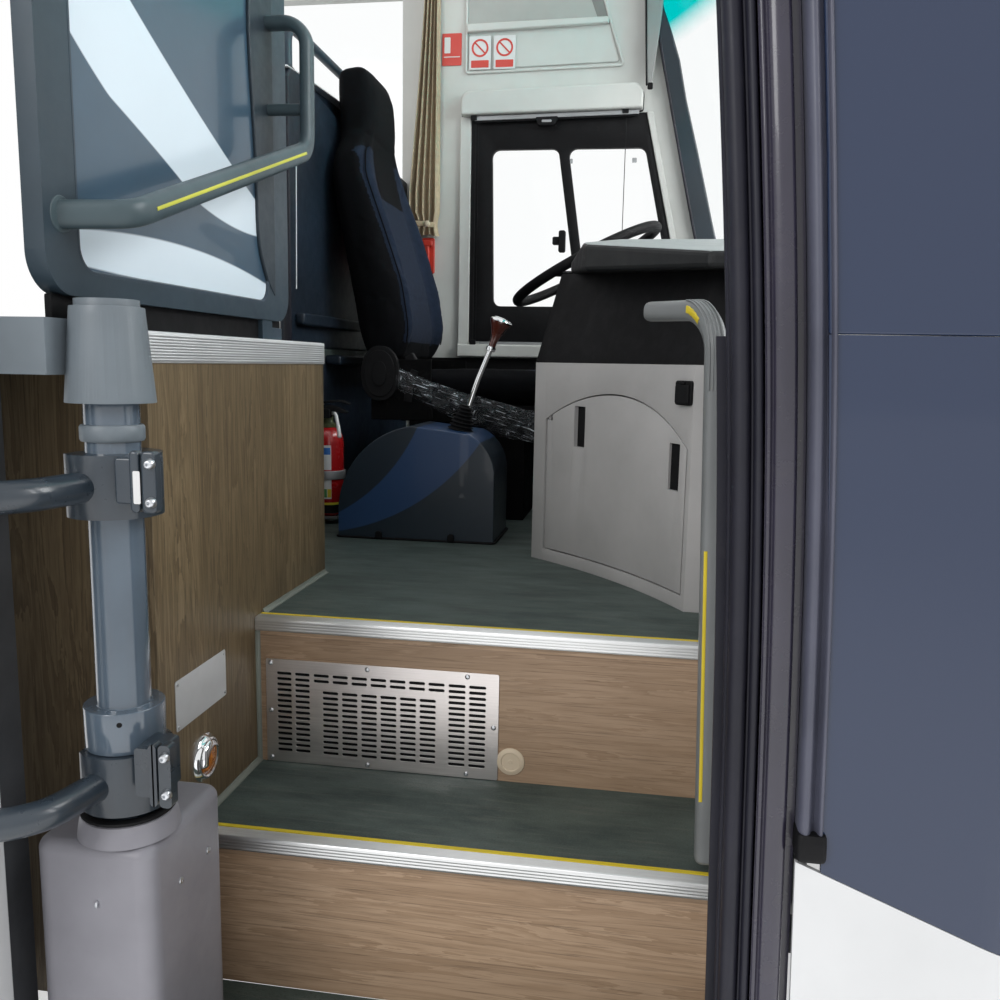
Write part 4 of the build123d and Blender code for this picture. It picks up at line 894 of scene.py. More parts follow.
TRIM_SECTION = np.concatenate([
    [(-46, 0.3), (-46, 2.6)], ribbed((-44, 2.4), (-2, 2.4), 12, 0.6, 6), [(1.6, 2.2), (2.6, 1.0)],
    ribbed((2.4, -1.0), (2.4, -36.0), 9, 0.6, 6), [(2.6, -37.6), (0.3, -38.0), (0.3, 0.3)]])
WOOD_LENGTH = (WOOD_Y1 - WOOD_Y0) / MM
extrusion(
    "deck_edge_trim", TRIM_SECTION, (STAIR_X0 / MM, WOOD_Y0 / MM, DECK_Z / MM), WOOD_LENGTH, ALUMINIUM_Y,
    replaces=["deck_trim"], sharp=50)
print("step edges", round(STEP_LENGTH), "mm long, deck trim", round(WOOD_LENGTH), "mm")

# %% [markdown]
# Pale strips close the joints between floor, wall and riser. Each is a small hollow quarter
# round, and the section again does all the work.

# %% Coving strips
def cove(size=8.0, steps=6):
    """Section of a coving strip in the corner at the origin: its face curves inwards."""
    a = np.linspace(np.pi, 1.5 * np.pi, steps)
    face = np.stack([size + (size - 1.6) * np.cos(a), size + (size - 1.6) * np.sin(a)], -1)
    return np.concatenate([[(0.2, 0.2), (0.2, size)], face, [(size, 0.2)]])


coves = []
for x, out in ((WALL_MM, 1), (SIDE_MM, -1)):
    for y0, y1, z in ((272, 487, MIDDLE_Z / MM), (513, 822 if out > 0 else 680, PLATFORM_Z / MM)):
        coves.append(slab(cove(), (x, y0 if out > 0 else y1, z), y1 - y0, (out, 0, 0)))
    coves.append(slab(
        cove(6.5),
        (x, 488, MIDDLE_Z / MM + 1 if out > 0 else PLATFORM_Z / MM - 21),
        228, (out, 0, 0), DOORWARD))
print("coving strips:", len(coves))
plates("coving_strips", coves, COVING)

# %% [markdown]
# Small fittings on the stairwell's walls: the round plug beside the grille, a blank data plate
# held by rivets, and two hooded step lamps. All but the plate are turned from profiles; the lamp's
# hood is the same turning stopped part of the way round and given a wall by Solidify.

# %% Plug, plate and step lamps
PLUG_SPOT = (WALL_MM + 433, RISER_Y, 315)
PLUG_PROFILE = [
    (0, 2.2), (3.2, 2.2), (3.8, 1.6), (8, 1.7), (14.5, 2.0), (15.5, 3.1), (18.5, 3.3), (20, 2.4), (22, 2.2),
    (23, 1.2), (23, 0.1), (17.4, 0.1), (17.4, -9), (0, -9)]
lathe("riser_blank_plug", PLUG_PROFILE, PLUG_SPOT, DOORWARD, 48, BEIGE, replaces=["riser_plug"])
extrusion("data_plate", box(217, 370, 440, 513, 4), (WALL_MM + 1.1, 0, 0), 1.0, PLATE_FOIL, 0.3, x_dir=Y)
screws(
    "data_plate_rivets",
    [(WALL_MM + 1.0, y, z) for y in (222.5, 364.5) for z in (446, 507)],
    X, 2.6, BOLT_STEEL, height=1.6, recess=False)

LAMP_BASE = [
    (0, 6), (24, 6), (25, 9.5), (27.5, 11), (30, 10.4), (31.5, 8), (33, 5), (35.5, 3.2), (36, 0.4), (0, 0.4)]
LAMP_LENS = [(0, 15.5), (8, 14.8), (15, 12.6), (20, 9.5), (23.5, 6.2), (23.5, 5.6), (0, 5.6)]


def step_lamp(name, spot, axis, hood_axis, **facts):
    """Chrome ring, domed lens and a hood over one side of it. The hood is part of a dome:
    radius 27 cos(b), height 9 + 13 sin(b), for turns within 80 degrees of the hood's side."""
    lathe(name + "_ring", LAMP_BASE, spot, axis, 48, CHROME, **facts)
    lathe(name + "_lens", LAMP_LENS, spot, axis, 40, AMBER_LENS)
    axis, top = np.array(axis, float), np.array(hood_axis, float)
    side = np.cross(axis, top)
    turn, b = np.meshgrid(np.radians(np.linspace(-80, 80, 28)), np.radians(np.linspace(0, 46, 8)))
    ring = np.cos(turn)[..., None] * top + np.sin(turn)[..., None] * side
    points = (
        np.array(spot, float) + (27 * np.cos(b))[..., None] * ring
        + (9 + 13 * np.sin(b))[..., None] * axis) * MM
    hood = grid_piece(name + "_hood", points, CHROME, closed=False)
    hood.modifiers.new("wall", "SOLIDIFY").thickness = 1.2 * MM


step_lamp("wall_lamp", (WALL_MM, 291, 372), X, unit(np.array([0, -0.45, 1.0])), replaces=["step_lamps"])
step_lamp(
    "dash_lamp", (SIDE_MM, 583, 668), (-1, 0, 0), unit(np.array([0, -0.6, 1.0])), replaces=["step_lamps"])
print("plug, data plate and lamps placed")

# %% [markdown]
# The handrails are moulded over steel tube, so their section is an oval with flattened sides, and
# a yellow or lime line is let into the face that a hand meets. The same path carries the rail and
# the line, which only has its own small section set off towards that face.

# %% Handrails with their yellow lines
def rail(name, corners, radii, profile, side, material, reach=0.0, **facts):
    """Closed rail: a section carried along a rounded path, with rounded ends if reach is set."""
    path, scale = bent_path(corners, radii, 12), None
    if reach:
        path, scale = round_ends(path, reach)
    return tube(name, path, profile, side, material, scale, **facts)


def stretch(path, first, last, count=24):
    """The part of a path between two shares of its length, as even points."""
    far = np.concatenate([[0], np.cumsum(np.linalg.norm(np.diff(path, axis=0), axis=1))])
    at = np.linspace(first, last, count) * far[-1]
    return np.stack([np.interp(at, far, path[:, i]) for i in range(3)], -1)


def inlay(name, corners, radii, first, last, centre, size, material=YELLOW, **facts):
    """Thin strip on a rail: centre is its place in the rail's section, size its two widths there."""
    path = stretch(bent_path(corners, radii, 12), first, last)
    w, h = size
    section = np.array(box(-w / 2, w / 2, -h / 2, h / 2, min(w, h) * 0.45, 3)) + centre
    return tube(name, path, section, X, material, **facts)


GRIP_CORNERS = [
    (-380, 596, 1495), (-313.5, 596, 1495), (-313.5, 594, 1296), (-313.5, 60, 1110), (-386, 30, 1106)]
rail(
    "partition_grip", GRIP_CORNERS, [38, 42, 34], oval(21, 31, 2.5), (1, 0, 0.02), GRIP_SLATE,
    replaces=["partition_handrail"])
rail("partition_grip_stub", [(-382, 595, 1361), (-316, 595, 1361)], [], oval(18, 18, 2.2), Y, GRIP_SLATE)
rings = [
    slab(oval(w, w, 2, 32), (-379.5, y, z), 4, Y)
    for y, z, w in ((596, 1495, 42), (595, 1361, 34), (31, 1106, 40))]
plates("partition_grip_roses", rings, GRIP_SLATE, 1.2)
slope = [(-313.5, 562, 1284.9), (-313.5, 92, 1121.1)]
inlay("partition_grip_line", slope, [], 0.0, 1.0, (10.4, 0.0), (1.6, 4.4), LIME_LINE)

FRONT_CORNERS, FRONT_BEND = [(357, 279, 300), (334, 280, 1027), (257, 400, 1031)], [55]
front = bent_path(FRONT_CORNERS, FRONT_BEND, 12)
path, scale = round_ends(front, 10)
foot = np.clip(np.linspace(0, 1, len(path)) * 6, 0.55, 1)
tube(
    "front_grip", path, oval(29, 27, 2.8, 36), X, RAIL_GREY, np.minimum(scale, foot),
    replaces=["front_handrail"])
inlay("front_grip_line", FRONT_CORNERS, FRONT_BEND, 0.10, 0.50, (-8.5, 13.0), (4.6, 1.8))
# painted shade: a dark strip down the grip's far side stands for the shade on that side
inlay(
    "front_grip_shaded_side", FRONT_CORNERS, FRONT_BEND, 0.03, 0.90, (13.6, -1.0), (1.8, 5.0), RUBBER,
    slot="grey_trim")
inlay("front_grip_patch", FRONT_CORNERS, FRONT_BEND, 0.848, 0.885, (-13.2, 3.5), (3.4, 10.0))
for number, place_across in enumerate((-9.0, -4.5, 0.0, 4.5, 9.0)):
    inlay(
        "front_grip_rib_%d" % number, FRONT_CORNERS, FRONT_BEND, 0.74, 0.895, (place_across, 13.4),
        (2.2, 1.9), RAIL_GREY)
feet = [
    slab(box(y - 13, y + 13, z, z + h, 6), (348.0, 0, 0), 24, DOORWARD)
    for y, z, h in ((-280, 302, 52), (-280, 880, 42))]
plates("front_grip_feet", feet, RAIL_GREY, 2.0)
print("handrails:", round(np.linalg.norm(np.diff(front, axis=0), axis=1).sum(), 2), "m at the door")

# %% [markdown]
# Round the partition's panel runs a dark chamfered gasket, a section carried round a rounded
# rectangle and closed on itself. The far stile has a wide slate chamfer that widens at its foot,
# with a small bracket under it. A black skirt along the floor paints the shade under the partition.

# %% Partition gasket, stile and skirt
CUT = 0.2


def smooth_outline(corners, rounds=2):
    """Closed outline with its corners cut again and again, at a fifth and four fifths of each side."""
    points = np.array(corners, float)
    for _ in range(rounds):
        after = np.roll(points, -1, axis=0)
        near, far = (1 - CUT) * points + CUT * after, CUT * points + (1 - CUT) * after
        points = np.stack([near, far], 1).reshape(-1, 2)
    return points


PANEL_LOW, PANEL_HIGH = corners_of("partition_panel")


def loop(name, outline, x, profile, material, **facts):
    """Section carried round a closed outline in the Y and Z plane at x: the section's first
    number runs inwards across the outline, its second along +X."""
    outline = np.array(outline)
    along = unit(np.roll(outline, -1, axis=0) - np.roll(outline, 1, axis=0))
    inward = np.stack([-along[:, 1], along[:, 0]], -1)
    profile = np.array(profile, float)
    flat = outline[:, None] + profile[None, :, :1] * inward[:, None]
    points = np.concatenate([np.broadcast_to(x + profile[None, :, 1:], flat.shape[:2] + (1,)), flat], -1) * MM
    return grid_piece(name, points, material, wrap_rows=True, wrap_cols=True, **facts)


panel_edge = box(PANEL_LOW[1], PANEL_HIGH[1], PANEL_LOW[2], PANEL_HIGH[2], 29, 9)
loop(
    "partition_gasket", panel_edge, PANEL_HIGH[0], [(-2, -2), (-2, 4.3), (1.5, 4.2), (3.5, 0.8), (4, -1)],
    SLATE_GREY)
chamfer = [
    (566, 1790), (528, 1560), (522, 1455), (543, 1272), (545, 1142), (581, 1084), (606, 1063), (613, 1062),
    (613, 1700), (604, 1790)]
extrusion(
    "partition_stile_chamfer", smooth_outline(chamfer), (PANEL_HIGH[0] + 5.2, 0, 0), 6, PARTITION_SLATE, 2.0,
    x_dir=Y)
extrusion("partition_bracket", box(586, 655, 987, 1010, 3), (-388, 0, 0), 10, SLATE_GREY, 1.5, x_dir=Y)
# painted shade: a black strip under the partition stands for the shadow beneath it
skirt = box(20, 652, DECK_Z / MM + 3.2, DECK_Z / MM + 36, 3)
extrusion("partition_shade_skirt", skirt, (PANEL_HIGH[0] - 6, 0, 0), 8, BLACK, x_dir=Y, slot="rubber_dark")
print("gasket round", [round(v) for v in PANEL_HIGH - PANEL_LOW], "mm")

# %% [markdown]
# The guard behind the seat is a moulding with a rising board and a bright strip along its top, a
# rubber bead down its near edge and two pressed ledges. A tube stands over it on two legs.

# %% Guard trims
GUARD_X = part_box("driver_guard")[1].x / MM
GUARD_TOP = [(1262, 1641), (1317, 1645), (1419, 1652), (1612, 1661), (2200, 1664)]
GUARD_RISE = [(1262, 1560), (2200, 1540), *GUARD_TOP[::-1]]
extrusion("guard_top_board", GUARD_RISE, (GUARD_X - 21, 0, 0), 12, GUARD_BLUE, 2, x_dir=Y)
edge_path = np.array([(GUARD_X - 15, y, z + 1) for y, z in GUARD_TOP]) * MM
rail(
    "guard_tube",
    [
        (GUARD_X - 15, 1300, 1580), (GUARD_X - 15, 1300, 1752), (GUARD_X - 15, 1960, 1752),
        (GUARD_X - 15, 1960, 1560)],
    [48, 48], oval(25, 25, 2, 20), (1, 0, 0.02), SLATE_GREY, slot="grey_trim", replaces=["guard_rail"])
tube("guard_bright_strip", edge_path, box(-16, 16, -1.5, 2.5, 1.4, 4), X, ALUMINIUM_Y)
rail(
    "guard_near_bead", [(GUARD_X - 8, 1262, 990), (GUARD_X - 8, 1262, 1618)], [], oval(20, 9, 2.4), X, RUBBER,
    reach=4)
rail(
    "guard_light_line", [(GUARD_X + 1, 1300, 1130), (GUARD_X + 1, 1309, 1427)], [], oval(2.4, 4, 2, 10), X,
    LABEL_WHITE, slot="guard_blue")
ledges = [
    slab(box(-1772, -1290, 0, 30, 9), (GUARD_X + 0.5, 0, 1042), 24, DOORWARD),
    slab(box(-1868, -1504, 0, 26, 8), (GUARD_X + 0.5, 0, 944), 44, DOORWARD)]
plates("guard_ledges", ledges, GUARD_BLUE, 5)
print("guard trims placed")

# %% [markdown]
# The doorway's front edge is a stack of long mouldings that all bend with the body: a rubber seal,
# a gloss cover and a weather strip. Each is one section, ribbed along its length, pushed up the
# post; every row of the grid is moved to the post's curve, x = sqrt(R^2 - z^2) less a constant,
# with a small lead above.

# %% Seals and covers on the door post
POST_RADIUS = 13300.0
POST_FOOT = 351.4
POST_LEAD, LEAD_START, LEAD_RUN = 8.0, 350.0, 700.0
POST_ROWS = 40


def post_x(z):
    """Line of the doorway's front edge at height z, in millimetres: the frame's curve, and above
    the lower third the mouldings' own lead t^2 (3 - 2 t) of 8 mm towards the front."""
    share = np.clip((z - LEAD_START) / LEAD_RUN, 0, 1)
    lead = POST_LEAD * share ** 2 * (3 - 2 * share)
    return POST_FOOT - POST_RADIUS + np.sqrt(POST_RADIUS ** 2 - z ** 2) + lead


def post_piece(name, section, z0, z1, material, **facts):
    """Closed section of (offset along X, Y) carried up the post's curve."""
    z = np.linspace(z0, z1, POST_ROWS)
    section = np.array(section, float)
    points = np.empty((len(z), len(section), 3))
    points[..., 0] = post_x(z)[:, None] + section[None, :, 0]
    points[..., 1] = section[None, :, 1]
    points[..., 2] = z[:, None]
    return grid_piece(name, points * MM, material, wrap_cols=True, caps=True, sharp=50, **facts)


def bulge(x0, x1, y, height, steps=10, power=1.0):
    """Points along a half-sine bump from x0 to x1 that stands height proud towards -Y."""
    t = np.linspace(0, 1, steps)
    return np.stack([x0 + (x1 - x0) * t, y - height * np.sin(np.pi * t) ** power], -1)


HEAD_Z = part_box("jamb_seal")[1].z / MM
FOOT_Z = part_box("jamb_seal")[0].z / MM
post_piece(
    "door_seal",
    np.concatenate([
        [(-1, -22), (-1, -50)], bulge(-1, 16, -50, 9, 14, 0.6), [(16.8, -52), (18.2, -52)],
        bulge(18.6, 26.6, -55, 4, 9, 0.7),
        [(27, -53), (27, -21.5), (11.5, -21.5), (11.5, 16), (9.8, 17.5), (8, 16), (8, -20.5)]]),
    FOOT_Z, HEAD_Z, RUBBER, replaces=["jamb_seal"])
lip_z = np.linspace(FOOT_Z + 4, HEAD_Z - 4, POST_ROWS)
ridge_path = np.stack([post_x(lip_z) - 1.6, np.full(POST_ROWS, -37.0), lip_z], -1) * MM
tube("door_seal_lip", ridge_path, oval(5, 9, 2, 14), X, RUBBER)
post_piece("door_seal_flap", [(-11, -20.2), (-11, -15), (8, -15), (8, -20.2)], FOOT_Z, 985, RUBBER)
TOP_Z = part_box("pillar_cover")[1].z / MM
COVER_LOW_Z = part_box("pillar_cover")[0].z / MM
STRIP_LOW_Z = 525.0
post_piece(
    "post_gloss_cover",
    np.concatenate([
        [(28, -20.8), (28, -58)], bulge(28.3, 33.5, -58, 2.5, 6), [(35, -57.6)],
        bulge(36, 55.5, -58.5, 4.4, 14, 0.5), [(56, -56), (56, -46), (65, -46), (65, -20.8)]]),
    COVER_LOW_Z, TOP_Z, JAMB_GLOSS, replaces=["pillar_cover"])
post_piece(
    "post_weather_strip",
    np.concatenate([
        [(65.5, -20.8), (65.5, -58)], bulge(65.5, 77, -63, 8, 12, 0.6), [(78, -62), (80, -60), (82, -62)],
        bulge(82.4, 88, -64, 6, 8, 0.6), [(88, -62), (88, -20.8)]]),
    STRIP_LOW_Z, TOP_Z, STRIP_RUBBER)
cap = np.array(box(64, 91, -73.5, -24, 5, 6))
cap_z = np.array([500, 502, 505, 518, 525, 527])
shrink = np.array([0.90, 0.97, 1.0, 1.0, 0.98, 0.92])
middle = cap.mean(0)
cap_points = np.empty((len(cap_z), len(cap), 3))
cap_points[..., :2] = middle + (cap - middle)[None] * shrink[:, None, None]
cap_points[..., 0] += post_x(cap_z)[:, None]
cap_points[..., 2] = cap_z[:, None]
grid_piece("weather_strip_cap", cap_points * MM, BLACK, wrap_cols=True, caps=True, slot="dark_gloss")
print("post mouldings from", FOOT_Z, "to", round(TOP_Z), "mm")

# %% [markdown]
# The door's turning column is gripped by cast clamps. Each has a flange in two halves with a slit
# between them, a web behind and two socket screws. These ride on the column's body, because they
# turn with it. Under the lower one a dark ring lies on a low boss of the drive's cover, which
# stay where they are.

# %% Clamp flanges, screws and rings
COLUMN_X, COLUMN_Y = -337.5, 40.0


def flange(name, x0, x1, z0, z1, y_face, depth):
    """Two rounded blocks with a thin slit between, standing out of the clamp towards the door."""
    middle = (x0 + x1) / 2
    blocks = [
        slab(box(a, b, z0, z1, 5), (0, y_face, 0), depth) for a, b in ((x0, middle - 4), (middle - 1.5, x1))]
    blocks.append(slab(box(x0 - 20, middle - 2, z0 + 8, z1 - 8, 4), (0, y_face + 5, 0), 44))
    return plates(name, blocks, CLAMP_DARK, 2.5, body="door_drive")


flange("upper_clamp_flange", -284, -254, 792, 858, -20, 14)
flange("lower_clamp_flange", -276, -250, 460, 533, -18, 14)
screws(
    "clamp_screws",
    [(-259, -20.4, 845), (-259, -20.4, 804), (-256, -18.4, 520), (-255, -18.4, 477)],
    DOORWARD, 6.0, BOLT_STEEL, body="door_drive", height=6.5)
extrusion(
    "clamp_label", box(-279, -271, 802, 837, 1.5), (0, -20.2, 0), -0.8, LABEL_WHITE, 0.2, body="door_drive")
COLLAR = [(30.2, 0), (33, 0.5), (34.5, 3), (34.5, 16), (33, 18.5), (30.2, 19)]
lathe("column_collar", COLLAR, (COLUMN_X, COLUMN_Y, 862), UP, 48, CAP_GREY, wrap_rows=True, body="door_drive")
screws(
    "sleeve_hole", [(COLUMN_X + 18, COLUMN_Y - 41.5, 545)], (0.4, -0.9, 0), 3.0, BLACK, body="door_drive",
    slot="column_paint", height=0.6)
BASE_RING = [(46, 0.3), (53, 0.3), (54, 1.5), (54, 4), (52, 5), (46, 5.5)]
BASE_BOSS = [(46, 0.3), (58, 0.3), (57, 8), (55.5, 17), (53, 24), (50, 26), (46, 26)]
lathe("column_base_boss", BASE_BOSS, (COLUMN_X, COLUMN_Y, 400), UP, 56, DRIVE_GREY, wrap_rows=True)
lathe("column_base_ring", BASE_RING, (COLUMN_X, COLUMN_Y, 426), UP, 56, BLACK, wrap_rows=True)
screws(
    "drive_cover_screws", [(-281.6, 123, 328), (-281.6, 53, 328), (-350, -12.4, 330)], X, 4.6, BOLT_STEEL,
    height=1.8)
print("column fittings placed")

# %% [markdown]
# The driver's seat is the main soft piece. Its back is one tall closed form: sections across the
# back, from the hips to the headrest, are drawn as flattened ovals and joined up its height. Each
# section's front is dished between two bolsters, deepest at the waist, and the dish fades out
# below the headrest. The outline up the back comes from a few measured stations, smoothed.

# %% Seat shapes
SEAT_MID_Y = 1730.0
RECLINE_X, RECLINE_Z = -445.0, 933.0
LEAN = np.radians(7.0)
BACK_UP = np.array([-np.sin(LEAN), 0, np.cos(LEAN)])
BACK_OUT = np.array([np.cos(LEAN), 0, np.sin(LEAN)])
BACK_LENGTH = (1752.0 - RECLINE_Z) / np.cos(LEAN)
# columns: distance up the back, rear face, front face, half width, dish depth, share of the bolsters
BACK_STATIONS = np.array([
    (20, -44, 48, 214, 6, 0.30), (60, -60, 84, 226, 30, 0.30), (110, -70, 98, 229, 40, 0.30),
    (230, -76, 96, 240, 46, 0.32), (375, -84, 60, 243, 34, 0.34), (520, -92, 18, 238, 16, 0.40),
    (585, -88, 8, 216, 9, 0.42), (622, -82, 6, 168, 7, 0.40), (650, -78, 16, 143, 5, 0.30),
    (690, -76, 25, 140, 4, 0.2), (BACK_LENGTH - 40, -68, 31, 137, 3, 0.2),
    (BACK_LENGTH, -62, 26, 133, 2, 0.2)])


def smooth(values, passes):
    """Moving average of three along the rows, with the ends held."""
    values = np.array(values, float)
    for _ in range(passes):
        values[1:-1] = (values[:-2] + 2 * values[1:-1] + values[2:]) / 4
    return values


def step_up(value, low, high):
    """Smooth step from 0 to 1: 3t^2 - 2t^3 between low and high."""
    t = np.clip((value - low) / (high - low), 0, 1)
    return t * t * (3 - 2 * t)


BACK_COLS, BACK_POWER = 88, 4.4


def soft_form(stations, rows=96, cols=BACK_COLS, power=BACK_POWER, ends=18.0, passes=10):
    """Grid of (across, depth, up) for a padded form. At angle t the section is
    half*sgn(cos t)|cos t|^(2/power) across and the same of sin t in depth; the front is dished by
    the station's depth inside its bolsters. Both ends close on a quarter round."""
    up = np.linspace(stations[0, 0], stations[-1, 0], rows)
    facts = np.stack([np.interp(up, stations[:, 0], stations[:, i]) for i in range(1, 6)], -1)
    facts = smooth(facts, passes)
    rear, front, half, dish, share = facts.T[:, :, None]
    from_end = np.minimum(up - up[0], up[-1] - up)[:, None]
    closing = np.sqrt(np.clip(1 - (1 - np.clip(from_end / ends, 0, 1)) ** 2, 1e-4, 1))
    inset = ends * (1 - closing)
    t = np.linspace(0, 2 * np.pi, cols, endpoint=False)[None]
    across = (half - inset * 0.8) * np.sign(np.cos(t)) * np.abs(np.cos(t)) ** (2 / power)
    middle, thick = (front + rear) / 2, (front - rear) / 2 - inset * 0.8
    depth = middle + thick * np.sign(np.sin(t)) * np.abs(np.sin(t)) ** (2 / power)
    inner = 1 - step_up(np.abs(across) / half, 1 - share * 1.25, 1 - share * 0.45)
    face = np.clip(np.sin(t), 0, 1) ** 0.5
    depth = depth - dish * inner * face * closing
    return across, depth, np.broadcast_to(up[:, None], across.shape)


def in_back(across, depth, up):
    """Points of the backrest's own directions, placed on the recliner."""
    origin = np.array([RECLINE_X, SEAT_MID_Y, RECLINE_Z])
    sideways = np.array([0, 1.0, 0])
    return (
        origin + across[..., None] * sideways + depth[..., None] * BACK_OUT + up[..., None] * BACK_UP) * MM


def cloth_map(piece, turn=0.0):
    """UV map in metres: each face takes the two axes it faces least, so threads keep their size."""
    mesh = piece.data
    points = read(mesh.vertices, "co")[read(mesh.loops, "vertex_index", 1, int)]
    sizes = read(mesh.polygons, "loop_total", 1, int)
    facing = np.repeat(np.abs(read(mesh.polygons, "normal")).argmax(1), sizes)
    first, second = np.array([1, 0, 0])[facing], np.array([2, 2, 1])[facing]
    rows = np.arange(len(points))
    uv = np.stack([points[rows, first], points[rows, second]], -1)
    uv = uv @ np.array([[np.cos(turn), np.sin(turn)], [-np.sin(turn), np.cos(turn)]])
    layer = mesh.uv_layers.get("cloth") or mesh.uv_layers.new(name="cloth")
    layer.data.foreach_set("uv", uv.ravel())
    return piece


def two_cloths(piece, second, chosen):
    """Second material on the chosen faces, given as an array of true and false."""
    piece.data.materials.append(second)
    piece.data.polygons.foreach_set("material_index", chosen.astype(int))
    return piece


across, depth, up = soft_form(BACK_STATIONS)
BACK_GRID = in_back(across, depth, up)
back = grid_piece(
    "backrest", BACK_GRID, SEAT_BLACK, wrap_cols=True, caps=True, body="backrest", replaces=["seat_back"],
    sharp=60)
print("backrest", len(back.data.polygons), "faces,", round(BACK_LENGTH), "mm tall")

# %% [markdown]
# Padding is never quite smooth: air and foam push the cover out between its seams. The cloth
# simulator does this. A copy is remeshed to even squares, blown up a little with gravity off, and
# each point may move only so far. The pull of the seams comes back afterwards, as grooves pressed
# along the sewn lines.

# %% Padding by simulation
def puff(piece, voxel, cap, pressure=4.0, frames=20, shrink=0.0):
    """Remesh, inflate with Cloth and apply it, with every point's move held below the cap."""
    scene = bpy.context.scene
    bpy.context.view_layer.objects.active = piece
    remesh = piece.modifiers.new("even", "REMESH")
    remesh.mode = "VOXEL"
    remesh.voxel_size = voxel * MM
    settle(piece)
    rest = read(piece.data.vertices, "co")
    cloth = piece.modifiers.new("cloth", "CLOTH")
    cloth.settings.quality = 4
    cloth.settings.use_pressure = True
    cloth.settings.uniform_pressure_force = pressure
    cloth.settings.effector_weights.gravity = 0
    cloth.settings.shrink_min = shrink
    cloth.point_cache.frame_start, cloth.point_cache.frame_end = 1, frames
    for frame_number in range(1, frames + 1):
        scene.frame_set(frame_number)
    settle(piece)
    scene.frame_set(1)
    move = read(piece.data.vertices, "co") - rest
    length = np.linalg.norm(move, axis=1, keepdims=True)
    held = np.tanh(length / (cap * MM)) * cap * MM
    set_places(piece, rest + move / np.maximum(length, 1e-9) * held)
    return piece


def settle(piece):
    """Applies the live modifiers of a piece to its mesh."""
    graph = bpy.context.evaluated_depsgraph_get()
    made = bpy.data.meshes.new_from_object(piece.evaluated_get(graph), depsgraph=graph)
    old = piece.data
    piece.modifiers.clear()
    made.name = old.name + "_made"
    piece.data = made
    made.polygons.foreach_set("use_smooth", np.ones(len(made.polygons), bool))


def set_places(piece, points):
    """Puts the vertices of a piece at new places."""
    piece.data.vertices.foreach_set("co", points.ravel())
    piece.data.update()


def press_seams(piece, lines, width, depth):
    """Groove along sewn lines: each point near a line moves in along its normal by
    depth * exp(-(distance/width)^2)."""
    points, normals = read(piece.data.vertices, "co"), read(piece.data.vertices, "normal")
    nearest = np.full(len(points), np.inf)
    for line in lines:
        for spot in line:
            nearest = np.minimum(nearest, np.linalg.norm(points - spot, axis=1))
    press = depth * MM * np.exp(-(nearest / (width * MM)) ** 2)
    set_places(piece, points - normals * press[:, None])


def on_back(shares, ups):
    """Points on the front of the back at shares of the half width (-1 to 1) and heights up,
    between the four nearest points of its grid."""
    angle = np.arccos(np.clip(np.sign(shares) * np.abs(shares) ** (BACK_POWER / 2), -1, 1))
    t = angle / (2 * np.pi) * BACK_COLS
    r = (ups - BACK_STATIONS[0, 0]) / (BACK_LENGTH - BACK_STATIONS[0, 0]) * (len(BACK_GRID) - 1)
    c0, r0 = np.clip(t.astype(int), 0, BACK_COLS - 2), np.clip(r.astype(int), 0, len(BACK_GRID) - 2)
    fc, fr = (t - c0)[..., None], (r - r0)[..., None]
    top = BACK_GRID[r0, c0] * (1 - fc) + BACK_GRID[r0, c0 + 1] * fc
    low = BACK_GRID[r0 + 1, c0] * (1 - fc) + BACK_GRID[r0 + 1, c0 + 1] * fc
    return top * (1 - fr) + low * fr


def seam_line(knots, count=160):
    """Even points on the front of the back along knots of (share, height up)."""
    knots = np.array(knots, float)
    at = np.linspace(0, len(knots) - 1, count)
    share, height = (smooth(np.interp(at, np.arange(len(knots)), knots[:, i]), 40) for i in (0, 1))
    return on_back(share, height)


def both_sides(knots):
    """The same seam on the near and on the far side."""
    return [seam_line([(side * share, up) for share, up in knots]) for side in (-1, 1)]


BOLSTER_SEAMS = both_sides([(0.93, 70), (0.93, 250), (0.92, 400), (0.90, 520), (0.80, 600)])
PANEL_SEAMS = both_sides([(0.60, 60), (0.58, 200), (0.55, 330), (0.52, 430), (0.46, 520), (0.5, 600)])
YOKE_SEAM = seam_line(
    [(-0.72, 560), (-0.55, 500), (-0.30, 462), (0.0, 450), (0.30, 462), (0.55, 500), (0.72, 560)])
WAIST_SEAM = seam_line([(-0.58, 205), (0.0, 190), (0.58, 205)])
HEAD_SEAM = seam_line([(-0.86, 640), (0.0, 628), (0.86, 640)])
puff(back, 6.0, 7.0)
press_seams(back, [*BOLSTER_SEAMS, *PANEL_SEAMS, YOKE_SEAM, WAIST_SEAM, HEAD_SEAM], 6.0, 4.5)


def back_places(piece):
    """Share across and height up of each face on the backrest, and how far forwards it faces."""
    local = read(piece.data.polygons, "center") / MM - np.array([RECLINE_X, SEAT_MID_Y, RECLINE_Z])
    height = local @ BACK_UP
    half = np.interp(height, BACK_STATIONS[:, 0], BACK_STATIONS[:, 3])
    return local[:, 1] / half, height, read(piece.data.polygons, "normal") @ BACK_OUT


share, height, facing = back_places(back)
two_cloths(
    back, SEAT_BLUE,
    (np.abs(share) < 0.93) & (height < 600) & (height > 70) & (facing > 0.05) & ~(
        (np.abs(share) < 0.5) & (height > 470)))
cloth_map(back)
print("backrest padded:", len(back.data.polygons), "faces")


def piping(name, line, radius, material, lift=1.2, **facts):
    """Thin round bead along a seam."""
    path = np.array(line)[::4] + BACK_OUT * lift * MM
    return cloth_map(tube(name, path, oval(radius * 2, radius * 2, 2, 8), (0, 1, 0.02), material, **facts))


for name, line in zip(("near", "far"), BOLSTER_SEAMS):
    piping("backrest_piping_" + name, line, 2.0, SEAT_BLACK, body="backrest")

# %% [markdown]
# The seat cushion is the same kind of form lying down: its length runs forwards, the front edge
# rolls over, and two bolsters rise at the sides of a dished middle.

